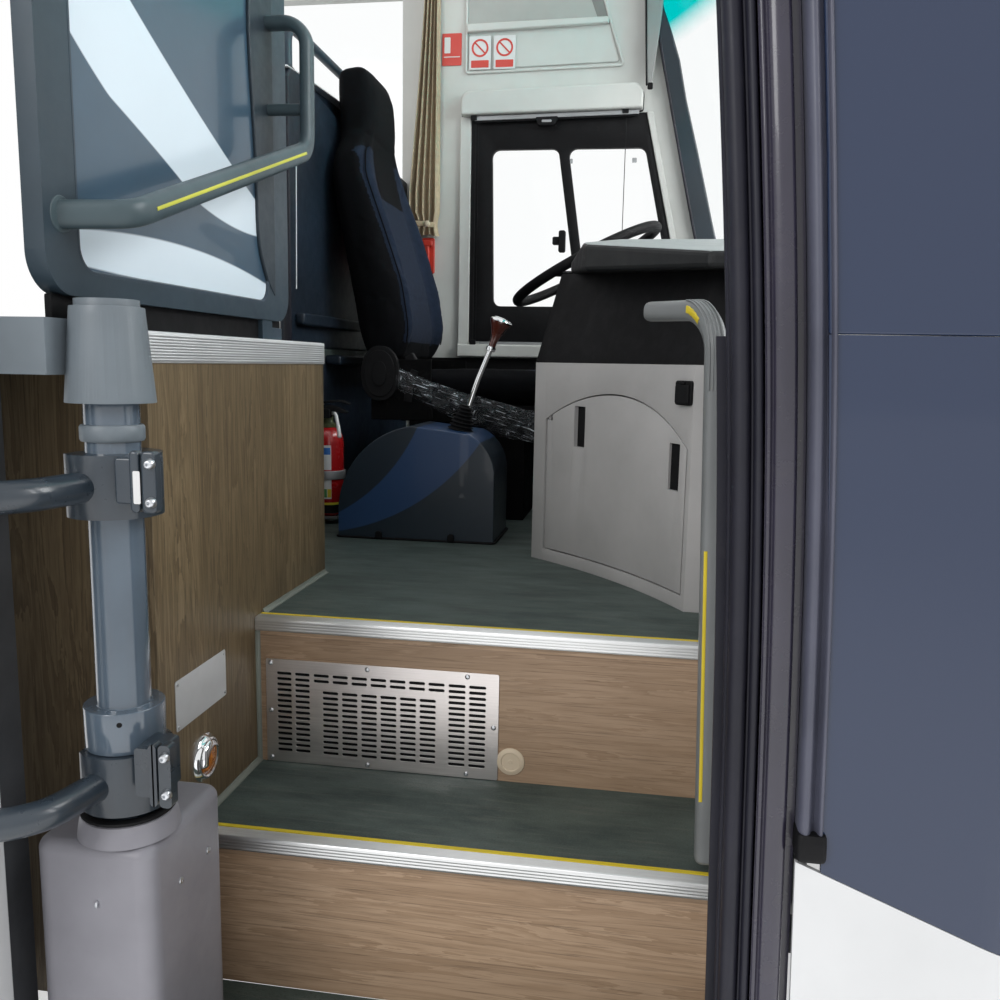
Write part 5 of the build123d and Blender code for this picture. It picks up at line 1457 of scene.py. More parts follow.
# %% Seat cushion
CUSHION_LOW, CUSHION_HIGH = corners_of("seat_cushion")
CUSHION_STATIONS = np.array([
    (0, -47, 30, 205, 4, 0.3), (40, -50, 44, 222, 14, 0.3), (150, -52, 48, 228, 22, 0.3),
    (270, -52, 48, 230, 18, 0.3), (360, -50, 46, 226, 10, 0.3),
    (CUSHION_HIGH[0] - CUSHION_LOW[0] - 6, -34, 26, 214, 4, 0.3)])
across, depth, along = soft_form(CUSHION_STATIONS, 64, 80, 3.0, 30.0, 10)
middle_z = (CUSHION_LOW[2] + CUSHION_HIGH[2]) / 2
CUSHION_GRID = np.stack([CUSHION_LOW[0] + 3 + along, SEAT_MID_Y + across, middle_z + depth], -1) * MM
cushion = grid_piece(
    "seat_pad", CUSHION_GRID, SEAT_BLACK, wrap_cols=True, caps=True, body="seat", replaces=["seat_cushion"],
    sharp=60)
puff(cushion, 6.0, 6.0)
PANEL_HALF = 128


def straight_seam(start, end, count):
    """Even points in metres between two spots in millimetres."""
    return np.linspace(start, end, count) * MM


SEAT_LINES = [
    straight_seam((CUSHION_LOW[0] + 20, y, middle_z + 40), (CUSHION_HIGH[0] - 30, y, middle_z + 40), 120)
    for y in (SEAT_MID_Y - PANEL_HALF, SEAT_MID_Y + PANEL_HALF)]
CROSS_X = CUSHION_LOW[0] + 250
SEAT_LINES.append(straight_seam(
    (CROSS_X, SEAT_MID_Y - PANEL_HALF, middle_z + 32), (CROSS_X, SEAT_MID_Y + PANEL_HALF, middle_z + 32), 80))
press_seams(cushion, SEAT_LINES, 9.0, 5.0)
centres = read(cushion.data.polygons, "center") / MM
two_cloths(
    cushion, SEAT_BLUE,
    (np.abs(centres[:, 1] - SEAT_MID_Y) < PANEL_HALF) & (centres[:, 2] > middle_z + 6))
cloth_map(cushion)
print("cushion padded:", len(cushion.data.polygons), "faces")

# %% [markdown]
# Above the driver's window hangs a roller blind in a moulded case, with a guide cord at each side.
# The case is a flat outline with thickness and broad soft edges. The cords run taut between two
# brackets, so they are straight thin rods, not loose cords.

# %% Roller blind
SIDE_Y = WINDOW_WALL_Y / MM


def wall_plate(name, outline, proud, thickness, soften, material, **facts):
    """Plate on the window wall from an outline in X and Z: proud is how far its face stands out."""
    piece = extrusion(name, outline, (0, SIDE_Y - proud, 0), thickness, material, **facts)
    return bevel(piece, soften, 4) if soften else piece


def wall_band(name, corners, width, proud, material, radius):
    """Raised round-edged line on the window wall along corners in X and Z."""
    points = [(x, SIDE_Y - proud / 2, z) for x, z in corners]
    path = bent_path(points, [radius] * (len(points) - 2), 8)
    return tube(name, path, oval(proud, width, 2.4, 14), Y, material)


def soft_corners(corners, radii, steps=6):
    """Closed outline in X and Z with an arc at every corner; radii is one radius or a list."""
    ring = [corners[-1], *corners, corners[0]]
    lifted = [(x, 0, z) for x, z in ring]
    radii = radii if isinstance(radii, (list, tuple)) else [radii] * len(corners)
    return (bent_path(lifted, radii, steps) / MM)[1:-1][:, [0, 2]]


CASE = np.array([(-413, 1806), (212, 1817), (212, 1899), (-413, 1884)], float)
wall_plate(
    "blind_case", soft_corners(CASE, [8, 8, 34, 34]), 47, 46.4, 7, WHITE_TRIM, replaces=["shade_housing"])
grow = np.array([(-3, -3), (3, -3), (3, 3), (-3, 3)])
wall_plate(
    "blind_case_gap", soft_corners(CASE + grow, [10, 10, 36, 36]), 3.0, 2.7, 0, BLACK, slot="white_trim")
wall_plate("blind_bar", [(-366, 1789), (200, 1801), (200, 1815), (-366, 1804)], 30, 12, 1.5, GALVANISED)
wall_plate("blind_bar_lip", [(-364, 1783), (198, 1795), (198, 1801), (-364, 1789)], 27, 7, 1.0, BLACK)
wall_plate(
    "blind_handle",
    soft_corners([(-142, 1768), (-84, 1769), (-72, 1798), (-154, 1796)], 5),
    38, 14, 3, BLACK)
wall_plate(
    "blind_handle_slot", box(-130, -96, 1778, 1786, 3, 4), 39.4, 2, 0.4, GALVANISED, slot="black_plastic")
for name, x, width, low in (
        ("left", -362, 3.2, 985), ("left_edge", -352, 1.6, 985), ("right", 158, 2.6, 1190)):
    rail(
        "blind_guide_" + name, [(x, SIDE_Y - 24, 1795), (x, SIDE_Y - 24, low)], [], oval(width, width, 2, 8),
        X, BLACK)
for name, x, z in (
        ("upper_left", -368, 1800), ("upper_right", 154, 1812), ("lower_left", -360, 992),
        ("middle_left", -362, 1030)):
    wall_plate("blind_bracket_" + name, box(x - 11, x + 11, z - 9, z + 9, 3, 3), 33, 14, 1.5, BLACK)
print("roller blind and guides placed")

# %% [markdown]
# The wall round the window is a set of pale mouldings: an upright trim beside the window, a sill,
# a long panel above with a raised edge, and a shallow recess over it. The recess's back and the
# line inside its edge are painted grey for the shade in it, and its side darker still. Dark felt
# covers the wall below the sill.

# %% Wall mouldings round the driver's window
# painted shade: a grey that stands for the shade inside the recess over the window
RECESS_SHADE_GREY = moulded("wall_recess_painted_shade", (0.40, 0.41, 0.39), 0.5, 900, 0.03, 0.05, slot="white_trim")

rear_pane = [(-293, 1160), (10, 1160), (-73, 1698), (-306, 1698)]
front_pane = [(45, 1160), (346, 1160), (225, 1697), (-38, 1698)]
frame_edge = [(-365, 1034.5), (401, 1034.5), (222, 1811), (-365, 1811)]
bevel(
    holed_plate(
        "side_window_frame", soft_corners(frame_edge, 6),
        [soft_corners(p, 26)[::-1] for p in (rear_pane, front_pane)], (0, WINDOW_WALL_Y + 0.006, 0), X, UP,
        24, 2.0, BLACK, replaces=["window_frame"]),
    0.5)
wall_plate("window_trim_left", box(-420, -380, 980, 1808, 7, 4), 15, 14.6, 4, WHITE_TRIM)
wall_plate("window_trim_inner", box(-381, -364, 1030, 1808, 3, 4), 7, 6.6, 1.5, BLACK, slot="rubber_dark")
wall_plate(
    "window_trim_front",
    soft_corners([(408, 1024), (430, 1024), (247, 1812), (225, 1812)], 4),
    12, 11.6, 4, WHITE_TRIM)
wall_plate(
    "window_trim_gap", [(401, 1030), (410, 1030), (229, 1811), (220, 1811)], 4, 3.6, 0, BLACK,
    slot="rubber_dark")
wall_plate("window_sill", box(-420, 430, 978, 1024, 6, 4), 34, 33.6, 6, WHITE_TRIM)
wall_plate("window_sill_gap", box(-340, 392, 1024, 1034, 2, 3), 14, 13.6, 1, GALVANISED)
ALCOVE = [(-403, 2290), (-403, 1954), (142, 1966), (90, 2112), (36, 2290)]
wall_band("alcove_edge", ALCOVE, 9, 8, WHITE_TRIM, 10)
wall_band("alcove_line", [(-393, 2080), (-393, 1966), (128, 1978), (92, 2096)], 4, 4, RECESS_SHADE_GREY, 8)
wall_plate(
    "alcove_shelf",
    soft_corners([(-400, 2084), (88, 2098), (84, 2119), (-400, 2111)], 5),
    20, 19.6, 6, WHITE_TRIM)
wall_plate("alcove_back", [(-396, 2112), (84, 2119), (32, 2290), (-396, 2290)], 2.5, 2.2, 0, RECESS_SHADE_GREY)
# painted shade: the recess's side face is a dark grey card for the shadow it lies in
wall_plate(
    "alcove_side_painted_shade", [(48, 2119), (84, 2119), (32, 2290), (-18, 2290)], 3.4, 0.8, 0,
    moulded("alcove_painted_shade", (0.20, 0.20, 0.19), 0.55, 900, 0.03, slot="white_trim"))
wall_plate("lower_wall_felt", box(-600, 498, PLATFORM_Z / MM + 2, 974, 4, 3), 7, 6.6, 2, BLACK)
print("wall mouldings placed")

# %% [markdown]
# Small blank signs sit on the upper panel: one red card with a white field, and two white cards
# with a red ring and bar over a red field. The ring is a turned band, the bar and fields are thin
# plates.

# %% Blank signs and stickers
def card(name, x0, x1, z0, z1, proud, material, radius=3.0):
    """Thin card on the wall."""
    return wall_plate(name, box(x0, x1, z0, z1, radius, 4), proud, 1.2, 0.3, material)


card("sign_red_card", -489, -420, 1981, 2087, 3.0, SIGN_RED)
card("sign_red_field", -481, -460, 2022, 2074, 3.7, LABEL_WHITE, 2)
card("sign_red_line", -483, -426, 2008, 2011, 3.7, LABEL_WHITE, 1)
for number, x in enumerate((-354, -268)):
    card("sign_white_card_%d" % number, x - 38, x + 38, 1964, 2073, 8.0, LABEL_WHITE)
    card("sign_red_box_%d" % number, x - 31, x + 31, 1970, 1994, 8.7, SIGN_RED, 2)
    ring = [(23, 0), (23, 0.9), (29.5, 0.9), (29.5, 0)]
    lathe("sign_ring_%d" % number, ring, (x, SIDE_Y - 8.0, 2034), DOORWARD, 40, SIGN_RED, wrap_rows=True)
    bar = np.array(
        [(-2.6, -24), (2.6, -24), (2.6, 24), (-2.6, 24)]) @ np.array([[0.707, 0.707], [-0.707, 0.707]])
    wall_plate("sign_bar_%d" % number, bar + (x, 2034), 8.9, 0.9, 0.2, SIGN_RED)
for name, x in (("rear", -30), ("front", 190)):
    wall_plate(
        "glass_label_" + name, box(x - 8, x + 8, 1648, 1664, 2, 3), 3.2, 0.8, 0.2, GALVANISED,
        slot="white_trim")
print("signs are blank")

# %% [markdown]
# The sliding pane has a black catch on its bar. The front of the blind's bay ends in a grey sun
# visor seen edge on, with a clip at its foot and a thin dark rim along its rear edge.

# %% Window catch and sun visor
VISOR_GREY = moulded("sun_visor_grey", (0.26, 0.265, 0.26), 0.5, 900, 0.03, 0.05, slot="grey_trim")
catch = [
    slab(box(-62, -38, 1346, 1421, 7, 5), (0, SIDE_Y - 26, 0), 22),
    slab(box(-84, -48, 1372, 1400, 6, 5), (0, SIDE_Y - 20, 0), 16)]
plates("window_catch", catch, BLACK, 3)
visor = smooth_outline(
    [(196, 2290), (272, 2290), (264, 2120), (250, 1990), (238, 1884), (224, 1880), (212, 2000)],
    1)
extrusion("sun_visor_edge", visor, (0, 2330, 0), 24, VISOR_GREY, 3)
wall_plate("sun_visor_clip", box(224, 242, 1872, 1892, 4, 3), SIDE_Y - 2326, 14, 2, BLACK)
rail(
    "sun_visor_rim", [(202, 2326, 2285), (216, 2326, 1990), (221, 2326, 1884)], [40], oval(6, 8, 2, 10), X,
    BLACK, reach=3)
print("window fittings placed")

# %% [markdown]
# The curtain is one sheet of cloth gathered into pleats and tied at its foot. Every row of the
# sheet has the same cut width: where the curtain hangs narrower the pleats must be deeper, so the
# pleat depth of each row is solved until the row's length along the cloth is right again.

# %% Gathered curtain
PLEATS, CLOTH_WIDTH = 5, 430.0
CURTAIN_ROWS, CURTAIN_COLS = 90, 150
CURTAIN_TOP, CURTAIN_LOW = 2250, 1405
TIE_START, TIE_RUN, NARROW_RUN = 1480, 75, 700


def pleat_row(width, depth, count=CURTAIN_COLS):
    """Pleats across one row: y = depth * (1 - cos(2 pi n s)) / 2, leaning a little sideways."""
    s = np.linspace(0, 1, count)
    wave = (1 - np.cos(2 * np.pi * PLEATS * s)) / 2
    lean = np.sin(2 * np.pi * PLEATS * s) * width / PLEATS * 0.12
    return s * width + lean, depth * wave * (0.82 + 0.18 * np.sin(5.0 * s + 1.0))


def pleat_depth(width):
    """Depth at which a row of this width has the cloth's cut width, by halving the range."""
    low, high = 0.0, 90.0
    for _ in range(40):
        middle = (low + high) / 2
        across, out = pleat_row(width, middle)
        if np.hypot(np.diff(across), np.diff(out)).sum() < CLOTH_WIDTH:
            low = middle
        else:
            high = middle
    return middle


curtain_z = np.linspace(CURTAIN_TOP, CURTAIN_LOW, CURTAIN_ROWS)
near_foot = np.clip((TIE_START - curtain_z) / TIE_RUN, 0, 1)
hang = np.clip((CURTAIN_TOP - curtain_z) / NARROW_RUN, 0, 1)
left = -540 - 61 * hang ** 1.2 + 18 * np.sin(np.pi * near_foot)
right = -494.0 + 4 * hang - 8 * np.sin(np.pi * near_foot)
curtain_points = np.empty((CURTAIN_ROWS, CURTAIN_COLS, 3))
for row in range(CURTAIN_ROWS):
    width = right[row] - left[row]
    across, out = pleat_row(width, pleat_depth(width))
    curtain_points[row, :, 0] = left[row] + across
    curtain_points[row, :, 1] = SIDE_Y - 12 - out * (1 - 0.25 * near_foot[row])
    curtain_points[row, :, 2] = curtain_z[row] + 4 * np.sin(across / 9) * near_foot[row]
curtain = grid_piece(
    "curtain_cloth", curtain_points * MM, CURTAIN_CLOTH, closed=False, sharp=80, replaces=["curtain"])
cloth_map(curtain)
tie = bent_path([(-600, SIDE_Y - 66, 1442), (-548, SIDE_Y - 88, 1438), (-498, SIDE_Y - 62, 1434)], [90], 10)
cloth_map(tube("curtain_tie", tie, oval(5, 17, 2.6, 12), Y, CURTAIN_CLOTH))
lathe(
    "curtain_tie_button", [(0, 7), (6, 6.4), (10, 4), (11, 0), (0, 0)], (-520, SIDE_Y - 82, 1436), DOORWARD,
    20, BEIGE, slot="curtain_fabric")

# %% [markdown]
# The front pillar beyond the window is a dark moulding that curves with the windscreen. Its two
# edges were read as two lines of points in the plane just inside the wall, and the strip between
# them gets a thickness and soft edges.

# %% Front pillar's inner moulding
PILLAR_BLACK = moulded(
    "pillar_black", (0.010, 0.020, 0.030), 0.35, 900, 0.05, 0.1, coat=0.2, specular=0.3, slot="dark_gloss")
PILLAR_REAR = [
    (228, 2290), (228, 2155), (248, 2061), (268, 1966), (300, 1839), (342, 1646), (384, 1467), (440, 1240),
    (470, 1130)]
PILLAR_FRONT = [
    (540, 1130), (512, 1240), (442, 1516), (400, 1678), (356, 1838), (328, 1965), (296, 2059), (258, 2155),
    (250, 2290)]
pillar_edge = np.array(PILLAR_REAR + PILLAR_FRONT, float)
extrusion("front_pillar_moulding", pillar_edge, (0, 2345, 0), 30, PILLAR_BLACK, 5)
pillar_path = smooth(np.array([(x + 2, 2343, z) for x, z in PILLAR_REAR], float), 2) * MM
tube("front_pillar_bead", pillar_path, oval(7, 9, 2.2, 12), Y, RUBBER)
print("front pillar moulding placed")

# %% [markdown]
# The gear lever rises from a bellows through the moulded cover: a chrome rod, bent a little, with a
# wooden knob under a chrome cap. Bellows and knob are turned profiles on the lever's own axis; the
# bellows' folds are a wave on its radius. The cover itself stands on a thin foot with two clips.

# %% Gear lever and the cover's foot
KNOB_WOOD = moulded("knob_wood", (0.105, 0.020, 0.012), 0.25, 90, 0.05, 0.3, coat=0.8, slot="black_plastic")
LEVER_FOOT, LEVER_TOP = np.array([-183.0, 1265, 800]), np.array([-108.0, 1265, 1004])
LEVER_AXIS = unit(LEVER_TOP - LEVER_FOOT)
fold = np.linspace(0, 1, 61)
bellows = np.stack([30 - 17 * fold + 3.2 * np.sin(fold * 14 * np.pi), fold * 62 - 6], -1)
grid_piece(
    "gear_lever_bellows", turned(bellows, LEVER_FOOT, (0.22, 0, 1.0), 36), BLACK, wrap_cols=True, caps=True,
    replaces=["gear_lever"])
rail(
    "gear_lever_rod",
    [LEVER_FOOT + LEVER_AXIS * 30, LEVER_FOOT * 0.45 + LEVER_TOP * 0.55 + (-3, 0, 2), LEVER_TOP],
    [400], oval(13, 13, 2, 20), Y, CHROME, reach=3)
knob = [
    (0, -18), (8.5, -18), (9.5, -12), (8.5, -6), (8, 4), (10, 16), (15, 30), (22, 42), (26, 50), (26.5, 55),
    (24, 59), (0, 59)]
lathe("gear_knob", smooth(knob, 1), LEVER_TOP, LEVER_AXIS, 36, KNOB_WOOD)
lathe(
    "gear_knob_cap",
    [(0, 63), (12, 62.4), (20, 60.6), (25, 57.5), (26.8, 55.5), (26.8, 53), (24, 52), (0, 52)],
    LEVER_TOP, LEVER_AXIS, 36, CHROME)
lathe(
    "gear_knob_collar", [(9, -20), (11, -19), (11.4, -12), (10, -9), (7, -9), (7, -20)], LEVER_TOP,
    LEVER_AXIS, 28, CHROME, wrap_rows=True)
COVER_LOW, COVER_HIGH = corners_of("gear_cover")
foot = slab(
    box(COVER_LOW[0] - 6, COVER_HIGH[0] + 7, COVER_LOW[1] - 7, COVER_HIGH[1] + 5, 14),
    (0, 0, PLATFORM_Z / MM + 5), 4.6, X, Y)
plates("gear_cover_foot", [foot], BLACK, 1.5)
clips = [
    slab(box(x - 8, x + 8, 0, 17, (2, 2, 6, 6)), (0, COVER_LOW[1] - 5, PLATFORM_Z / MM + 4), -7)
    for x in (-366, -189)]
plates("gear_cover_clips", clips, BLACK, 1.5)
print("lever", round(np.linalg.norm(LEVER_TOP - LEVER_FOOT)), "mm from boot to knob")

# %% [markdown]
# The extinguisher is a steel bottle with blank stickers, a strap, a plastic neck ring, a lever
# head and a short nozzle. The body is one turned profile with domed ends; bands and stickers are
# slightly larger rings, whole or in part, on the same axis.

# %% Extinguisher
BOTTLE = np.array([-560.5, 1380.0, 552.0])
body_profile = [
    (0, 6), (20, 1.5), (30, 0), (37, 4), (39.6, 12), (39.8, 190), (38.5, 205), (33, 219), (24, 228),
    (15, 232), (13, 236), (0, 236)]
lathe("extinguisher_bottle", body_profile, BOTTLE, UP, 48, RED_PAINT, replaces=["extinguisher"])
LABEL_BLUE = moulded("label_blue", (0.03, 0.16, 0.50), 0.4, 300, 0.01, 0.05, slot="white_trim")


def band(name, radius, z0, z1, material, slot=None):
    """Thin band round the bottle between two heights above its foot."""
    section = [(radius - 0.5, z0), (radius, z0 + 0.4), (radius, z1 - 0.4), (radius - 0.5, z1)]
    return lathe(name, section, BOTTLE, UP, 48, material, wrap_rows=True, slot=slot)


def sticker(name, radius, z0, z1, turn0, turn1, material):
    """Label round part of the bottle, between two turns in degrees from -Y towards +X."""
    turn = np.radians(np.linspace(turn0, turn1, 16))[:, None]
    high = np.array([z0, z0, z1, z1])[None]
    out = np.array([radius - 1, radius, radius, radius - 1])[None]
    points = np.stack(
        [BOTTLE[0] + out * np.sin(turn), BOTTLE[1] - out * np.cos(turn), BOTTLE[2] + high + 0 * turn],
        -1)
    return grid_piece(name, points * MM, material, wrap_cols=True, caps=True, slot="white_trim")


sticker("extinguisher_label", 40.2, 122, 186, -60, 29, LABEL_WHITE)
sticker("extinguisher_label_top", 40.5, 162, 180, -58, 26, LABEL_BLUE)
sticker("extinguisher_label_low", 40.2, 46, 104, -60, 29, LABEL_WHITE)
sticker(
    "extinguisher_label_green", 40.5, 50, 72, -58, 12,
    moulded("label_green", (0.10, 0.34, 0.12), 0.4, 300, 0.01, 0.05, slot="white_trim"))
sticker("extinguisher_label_yellow", 40.5, 50, 72, 14, 28, YELLOW)
band("extinguisher_strap", 41.0, 106, 119, GALVANISED, "galvanised")
band("extinguisher_foot_band", 40.6, 8, 30, BLACK)
band("extinguisher_foot_line", 40.9, 30, 36, YELLOW, "black_plastic")
lathe(
    "extinguisher_neck",
    [(0, 230), (19, 231), (20, 234), (20, 240), (15, 243), (13, 246), (13, 262), (0, 262)],
    BOTTLE, UP, 32,
    moulded("neck_ring", (0.10, 0.12, 0.05), 0.45, slot="black_plastic"),
    slot="black_plastic")
head = [
    slab(box(-14, 16, 256, 280, 5), BOTTLE + (0, -11, 0), -22),
    slab(
        smooth_outline([(-10, 278), (58, 268), (62, 274), (20, 290), (-12, 290)], 1),
        BOTTLE + (0, -9, 0), -18),
    slab(
        smooth_outline([(-8, 292), (40, 298), (66, 290), (67, 295), (42, 304), (-10, 299)], 1),
        BOTTLE + (0, -9, 0), -18)]
plates("extinguisher_head", head, BLACK, 1.6)
nozzle = [(-548, 1368, 820), (-530, 1350, 822), (-520, 1340, 790), (-514, 1334, 762)]
path, scale = round_ends(bent_path(nozzle, [14, 16], 8), 3)
tube(
    "extinguisher_nozzle", path, oval(9, 9, 2, 16), (0, 1, 0.1), LABEL_WHITE,
    scale * np.linspace(0.8, 1.2, len(path)), slot="black_plastic")
lathe(
    "extinguisher_gauge", [(0, 9), (8, 9), (10, 8), (11, 5), (11, 0), (0, 0)], BOTTLE + (2, -12, 268),
    DOORWARD, 24, CHROME)
print("extinguisher stands at", BOTTLE[:2])

# %% [markdown]
# The steering wheel's rim has a soft oval section; four spokes run from it to a round hub with a
# blank pad. The rim is turned round the wheel's axis, each spoke is a section carried along a
# shallow curve. All ride on the wheel's body.

# %% Steering wheel
TILT = np.radians(28.0)
WHEEL = np.array([78.0, 1730.0, 1235.0])
WHEEL_UP = np.array([-np.sin(TILT), 0, np.cos(TILT)])
WHEEL_SIDE = np.array([0, 1.0, 0])
WHEEL_FORE = np.cross(WHEEL_UP, WHEEL_SIDE)
rim = oval(29, 27, 2.2, 20) + (216, 0)
lathe(
    "steering_rim", rim, WHEEL, WHEEL_UP, 96, BLACK, wrap_rows=True, body="wheel",
    replaces=["steering_wheel"])
SPOKE_SIDES = 16
spokes = []
for angle in np.radians([25, 155, 205, 335]):
    out = np.cos(angle) * WHEEL_SIDE + np.sin(angle) * WHEEL_FORE
    run = [WHEEL + out * 30 - WHEEL_UP * 18, WHEEL + out * 110 - WHEEL_UP * 14, WHEEL + out * 206 - WHEEL_UP]
    path = bent_path(run, [260], 8)
    taper = np.linspace(1.15, 0.8, len(path))
    ends = [list(range(SPOKE_SIDES)), list(range(SPOKE_SIDES * (len(path) - 1), SPOKE_SIDES * len(path)))]
    spokes.append((
        carried(path, oval(30, 12, 2.6, SPOKE_SIDES), np.cross(WHEEL_UP, out), taper),
        grid_faces(len(path), SPOKE_SIDES, wrap_cols=True) + ends))
plates("steering_spokes", spokes, BLACK, body="wheel")
hub = [(0, 4), (30, 3), (46, -2), (54, -9), (56, -16), (54, -24), (48, -40), (40, -48), (0, -48)]
lathe("steering_hub", hub, WHEEL, WHEEL_UP, 48, BLACK, body="wheel")
print("steering wheel 459 mm across")

# %% [markdown]
# Small things on the console: the two finger recesses of the locker door get dark cups, which
# ride on that door, and a covered socket sits near the doorway. They lie on the console's hollow
# face, so each is placed by its distance along the face's chord and pushed in by the hollow's
# depth there.

# %% Console fittings
CHORD_START, CHORD_END, HOLLOW = np.array([18.5, 1073.0, 0]), np.array([334.5, 683.0, 0]), 26.0
CHORD = unit(CHORD_END - CHORD_START)
CHORD_OUT = np.cross(CHORD, (0, 0, 1.0))
CHORD_LENGTH = np.linalg.norm(CHORD_END - CHORD_START)


def on_console(along, z, out):
    """Point on the hollow face: the hollow at share s of the chord is 4 s (1 - s) of its depth."""
    share = along / CHORD_LENGTH
    return CHORD_START + CHORD * along - CHORD_OUT * (HOLLOW * 4 * share * (1 - share) - out) + (0, 0, z)


cups = [
    slab(box(-19, 19, -44, 44, 5), on_console(along, z, -8), 12, CHORD)
    for along, z in ((140, 830), (448, 780))]
plates("locker_finger_cups", cups, BLACK, 1, body="locker")
socket = [
    slab(box(-21, 21, -21, 21, 5), on_console(478, 912, 9), 12, CHORD),
    slab(box(-17, 17, -19, 14, 4), on_console(478, 912, 13), 6, CHORD),
    slab(box(-6, 6, 14, 20, 2), on_console(478, 912, 14), 6, CHORD)]
plates("socket_box", socket, BLACK, 2)
print("console chord", round(CHORD_LENGTH), "mm")

# %% [markdown]
# The recliner's oval cover has a stepped rim, the seat belt's buckle stands on a strap beside the
# cushion, and the seat still wears part of its clear packing film. The film is a crumpled sheet:
# folded ridges, |sin| of a few crossing waves, on a strip that hangs along the cushion's side.

# %% Recliner cover, buckle and packing film
NEAR_Y = 1480.0
centre = np.array([-446.0, NEAR_Y + 1.6, 924.0])
rings = []
for wide, high, out, lift in ((104, 146, 0, 18), (84, 124, 18, 3), (40, 66, 21, 3)):
    rings.append(slab(oval(wide, high, 2.2, 40), centre - (0, out + lift, 0), lift))
plates("recliner_oval", rings, BLACK, 2.5, body="seat", replaces=["recliner_cover"])
buckle = slab(
    box(-14, 14, 0, 52, 6), (-348, NEAR_Y + 4, 930), 20, unit(np.array([0.86, 0, 0.5])),
    unit(np.array([-0.5, 0, 0.86])))
plates("belt_buckle", [buckle], BLACK, 4, body="seat")
rail(
    "belt_stalk",
    [(-372, NEAR_Y - 4, 850), (-366, NEAR_Y - 4, 900), (-352, NEAR_Y - 4, 934)],
    [40], oval(22, 5, 2.6, 12), X, BLACK, body="seat")
FILM_ROWS, FILM_COLS = 150, 60
film_x = np.linspace(-402, -14, FILM_ROWS)[:, None]
film_t = np.linspace(0, 1, FILM_COLS)[None]
film_top = np.interp(film_x, [-402, -330, -234, -124, -14], [942, 912, 880, 854, 828])
film_low = np.interp(film_x, [-402, -358, -288, -206, -124, -14], [884, 858, 824, 794, 762, 748])
film_z = film_top + (film_low - film_top) * film_t
crumple = np.zeros((FILM_ROWS, FILM_COLS))
waves = np.random.default_rng(7)
for size in (9, 7, 6, 4.5, 3.5, 2.5):
    angle, shift = waves.uniform(-0.9, 0.9), waves.uniform(0, 6.28)
    phase = (film_x * np.cos(angle) + film_z * np.sin(angle)) / (size * 2.6) + shift
    crumple += size * (1 - np.abs(np.sin(phase + 0.8 * np.sin(film_z / 23 + shift))))
roll = 16 * np.sin(np.pi * film_t) ** 0.7
film_points = np.stack(
    [film_x + 2.2 * np.sin(film_z / 5.0), NEAR_Y + 6 - roll - crumple * 0.85, film_z + 0.12 * crumple],
    -1)
film = grid_piece("packing_film", film_points * MM, FILM, closed=False, sharp=20, body="seat")

# %% [markdown]
# The hammer for the side glass sits in its red holder beside the curtain's foot.

# %% Hammer in its holder
hammer = [
    slab(box(-556, -509, 1272, 1398, 8, 5), (0, SIDE_Y - 12, 0), 11.4),
    slab(box(-541, -524, 1280, 1372, 7, 5), (0, SIDE_Y - 36, 0), 20),
    slab(box(-552, -513, 1366, 1386, 6, 5), (0, SIDE_Y - 38, 0), 24)]
plates("hammer_in_holder", hammer, RED_PLASTIC, 3, replaces=["wall_hammer"])
lathe(
    "hammer_tip", [(0, 9), (4, 4), (6, 0), (6, -6), (0, -6)], (-556, SIDE_Y - 26, 1376), (-1, 0, 0), 16,
    BOLT_STEEL)

# %% [markdown]
# The stage is a plain pale floor that runs far back, under an even white sky. The sky is white to
# the camera and in reflections, and a softer grey as light, so that colours come out about as
# they are written. Three broad lamps give the shapes their shading: one over the camera's left
# shoulder, one in front of the windscreen, and one from above, since the section has no roof. A
# small fourth one stands for the daylight that falls through the windscreen on the far wall.

# %% Stage and light
FLOOR_SIZE = 40.0


def seen_directly(tree):
    """One for rays that show a surface itself: from the camera, mirrored or through glass."""
    paths = add(tree, "ShaderNodeLightPath")
    return sums(
        "MAXIMUM", paths.outputs["Is Camera Ray"],
        sums("MAXIMUM", paths.outputs["Is Glossy Ray"], paths.outputs["Is Transmission Ray"]))


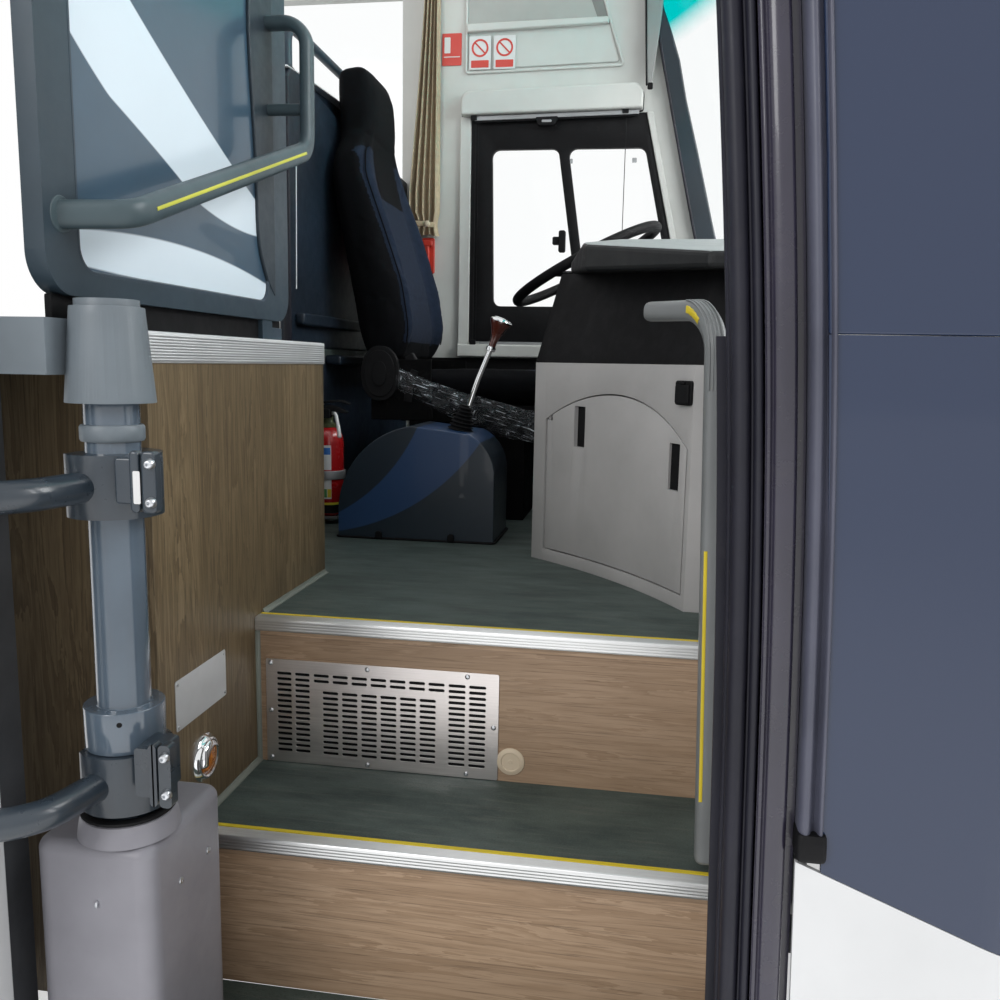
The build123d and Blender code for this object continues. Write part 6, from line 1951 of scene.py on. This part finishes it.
def stage_floor():
    """Wide floor at the height the rails stand on."""
    corners = np.array([[-1, -1], [1, -1], [1, 1], [-1, 1]]) * FLOOR_SIZE / 2
    mesh = bpy.data.meshes.new("stage_floor")
    mesh.from_pydata(np.c_[corners, np.full(4, -0.0005)].tolist(), [], [[0, 1, 2, 3]])
    floor = bpy.data.objects.new("stage_floor", mesh)
    COLLECTION.objects.link(floor)
    material, tree, shader = new_material("stage_pale", (0.80, 0.80, 0.80), 0.9)
    glow = add(tree, "ShaderNodeEmission", {"Color": (1, 1, 1, 1), "Strength": 0.55})
    both = add(tree, "ShaderNodeAddShader", {0: shader.outputs[0], 1: glow.outputs[0]})
    mix = add(tree, "ShaderNodeMixShader", {0: seen_directly(tree), 1: shader.outputs[0], 2: both.outputs[0]})
    tree.links.new(mix.outputs[0], tree.nodes["Material Output"].inputs[0])
    mesh.materials.append(material)


def white_sky(strength):
    """World: white for camera, glossy and transmitted rays, softer as light."""
    world = bpy.data.worlds.new("sky")
    bpy.context.scene.world = world
    world.use_nodes = True
    tree = world.node_tree
    ground = tree.nodes["Background"]
    ground.inputs["Color"].default_value = (1, 1, 1, 1)
    tree.links.new(remap(seen_directly(tree), 0, 1, strength, 1.0), ground.inputs["Strength"])


def lamp(name, spot, aim, size, power):
    """Square area lamp at a spot, aimed at a point."""
    data = bpy.data.lights.new(name, "AREA")
    data.size = size
    data.energy = power
    item = bpy.data.objects.new(name, data)
    COLLECTION.objects.link(item)
    back = unit(np.array(spot, float) - np.array(aim, float))
    side = unit(np.cross([0, 0, 1.0], back))
    pose = np.eye(4)
    pose[:3, 0], pose[:3, 1], pose[:3, 2], pose[:3, 3] = side, np.cross(back, side), back, spot
    item.matrix_world = pose.T.tolist()


stage_floor()
white_sky(0.75)
lamp("lamp_left", (-1.6, -2.6, 2.6), (0.0, 0.5, 0.9), 1.8, 60)
lamp("lamp_front", (3.0, 0.6, 2.8), (0.0, 1.2, 0.9), 2.0, 90)
lamp("lamp_top", (0.0, 1.2, 4.2), (0.0, 1.2, 0.6), 2.4, 90)
lamp("lamp_screen", (0.76, 1.55, 1.75), (0.3, 2.4, 1.25), 0.4, 3.5)

# %% Finish
bpy.context.scene.view_settings.view_transform = "Standard"
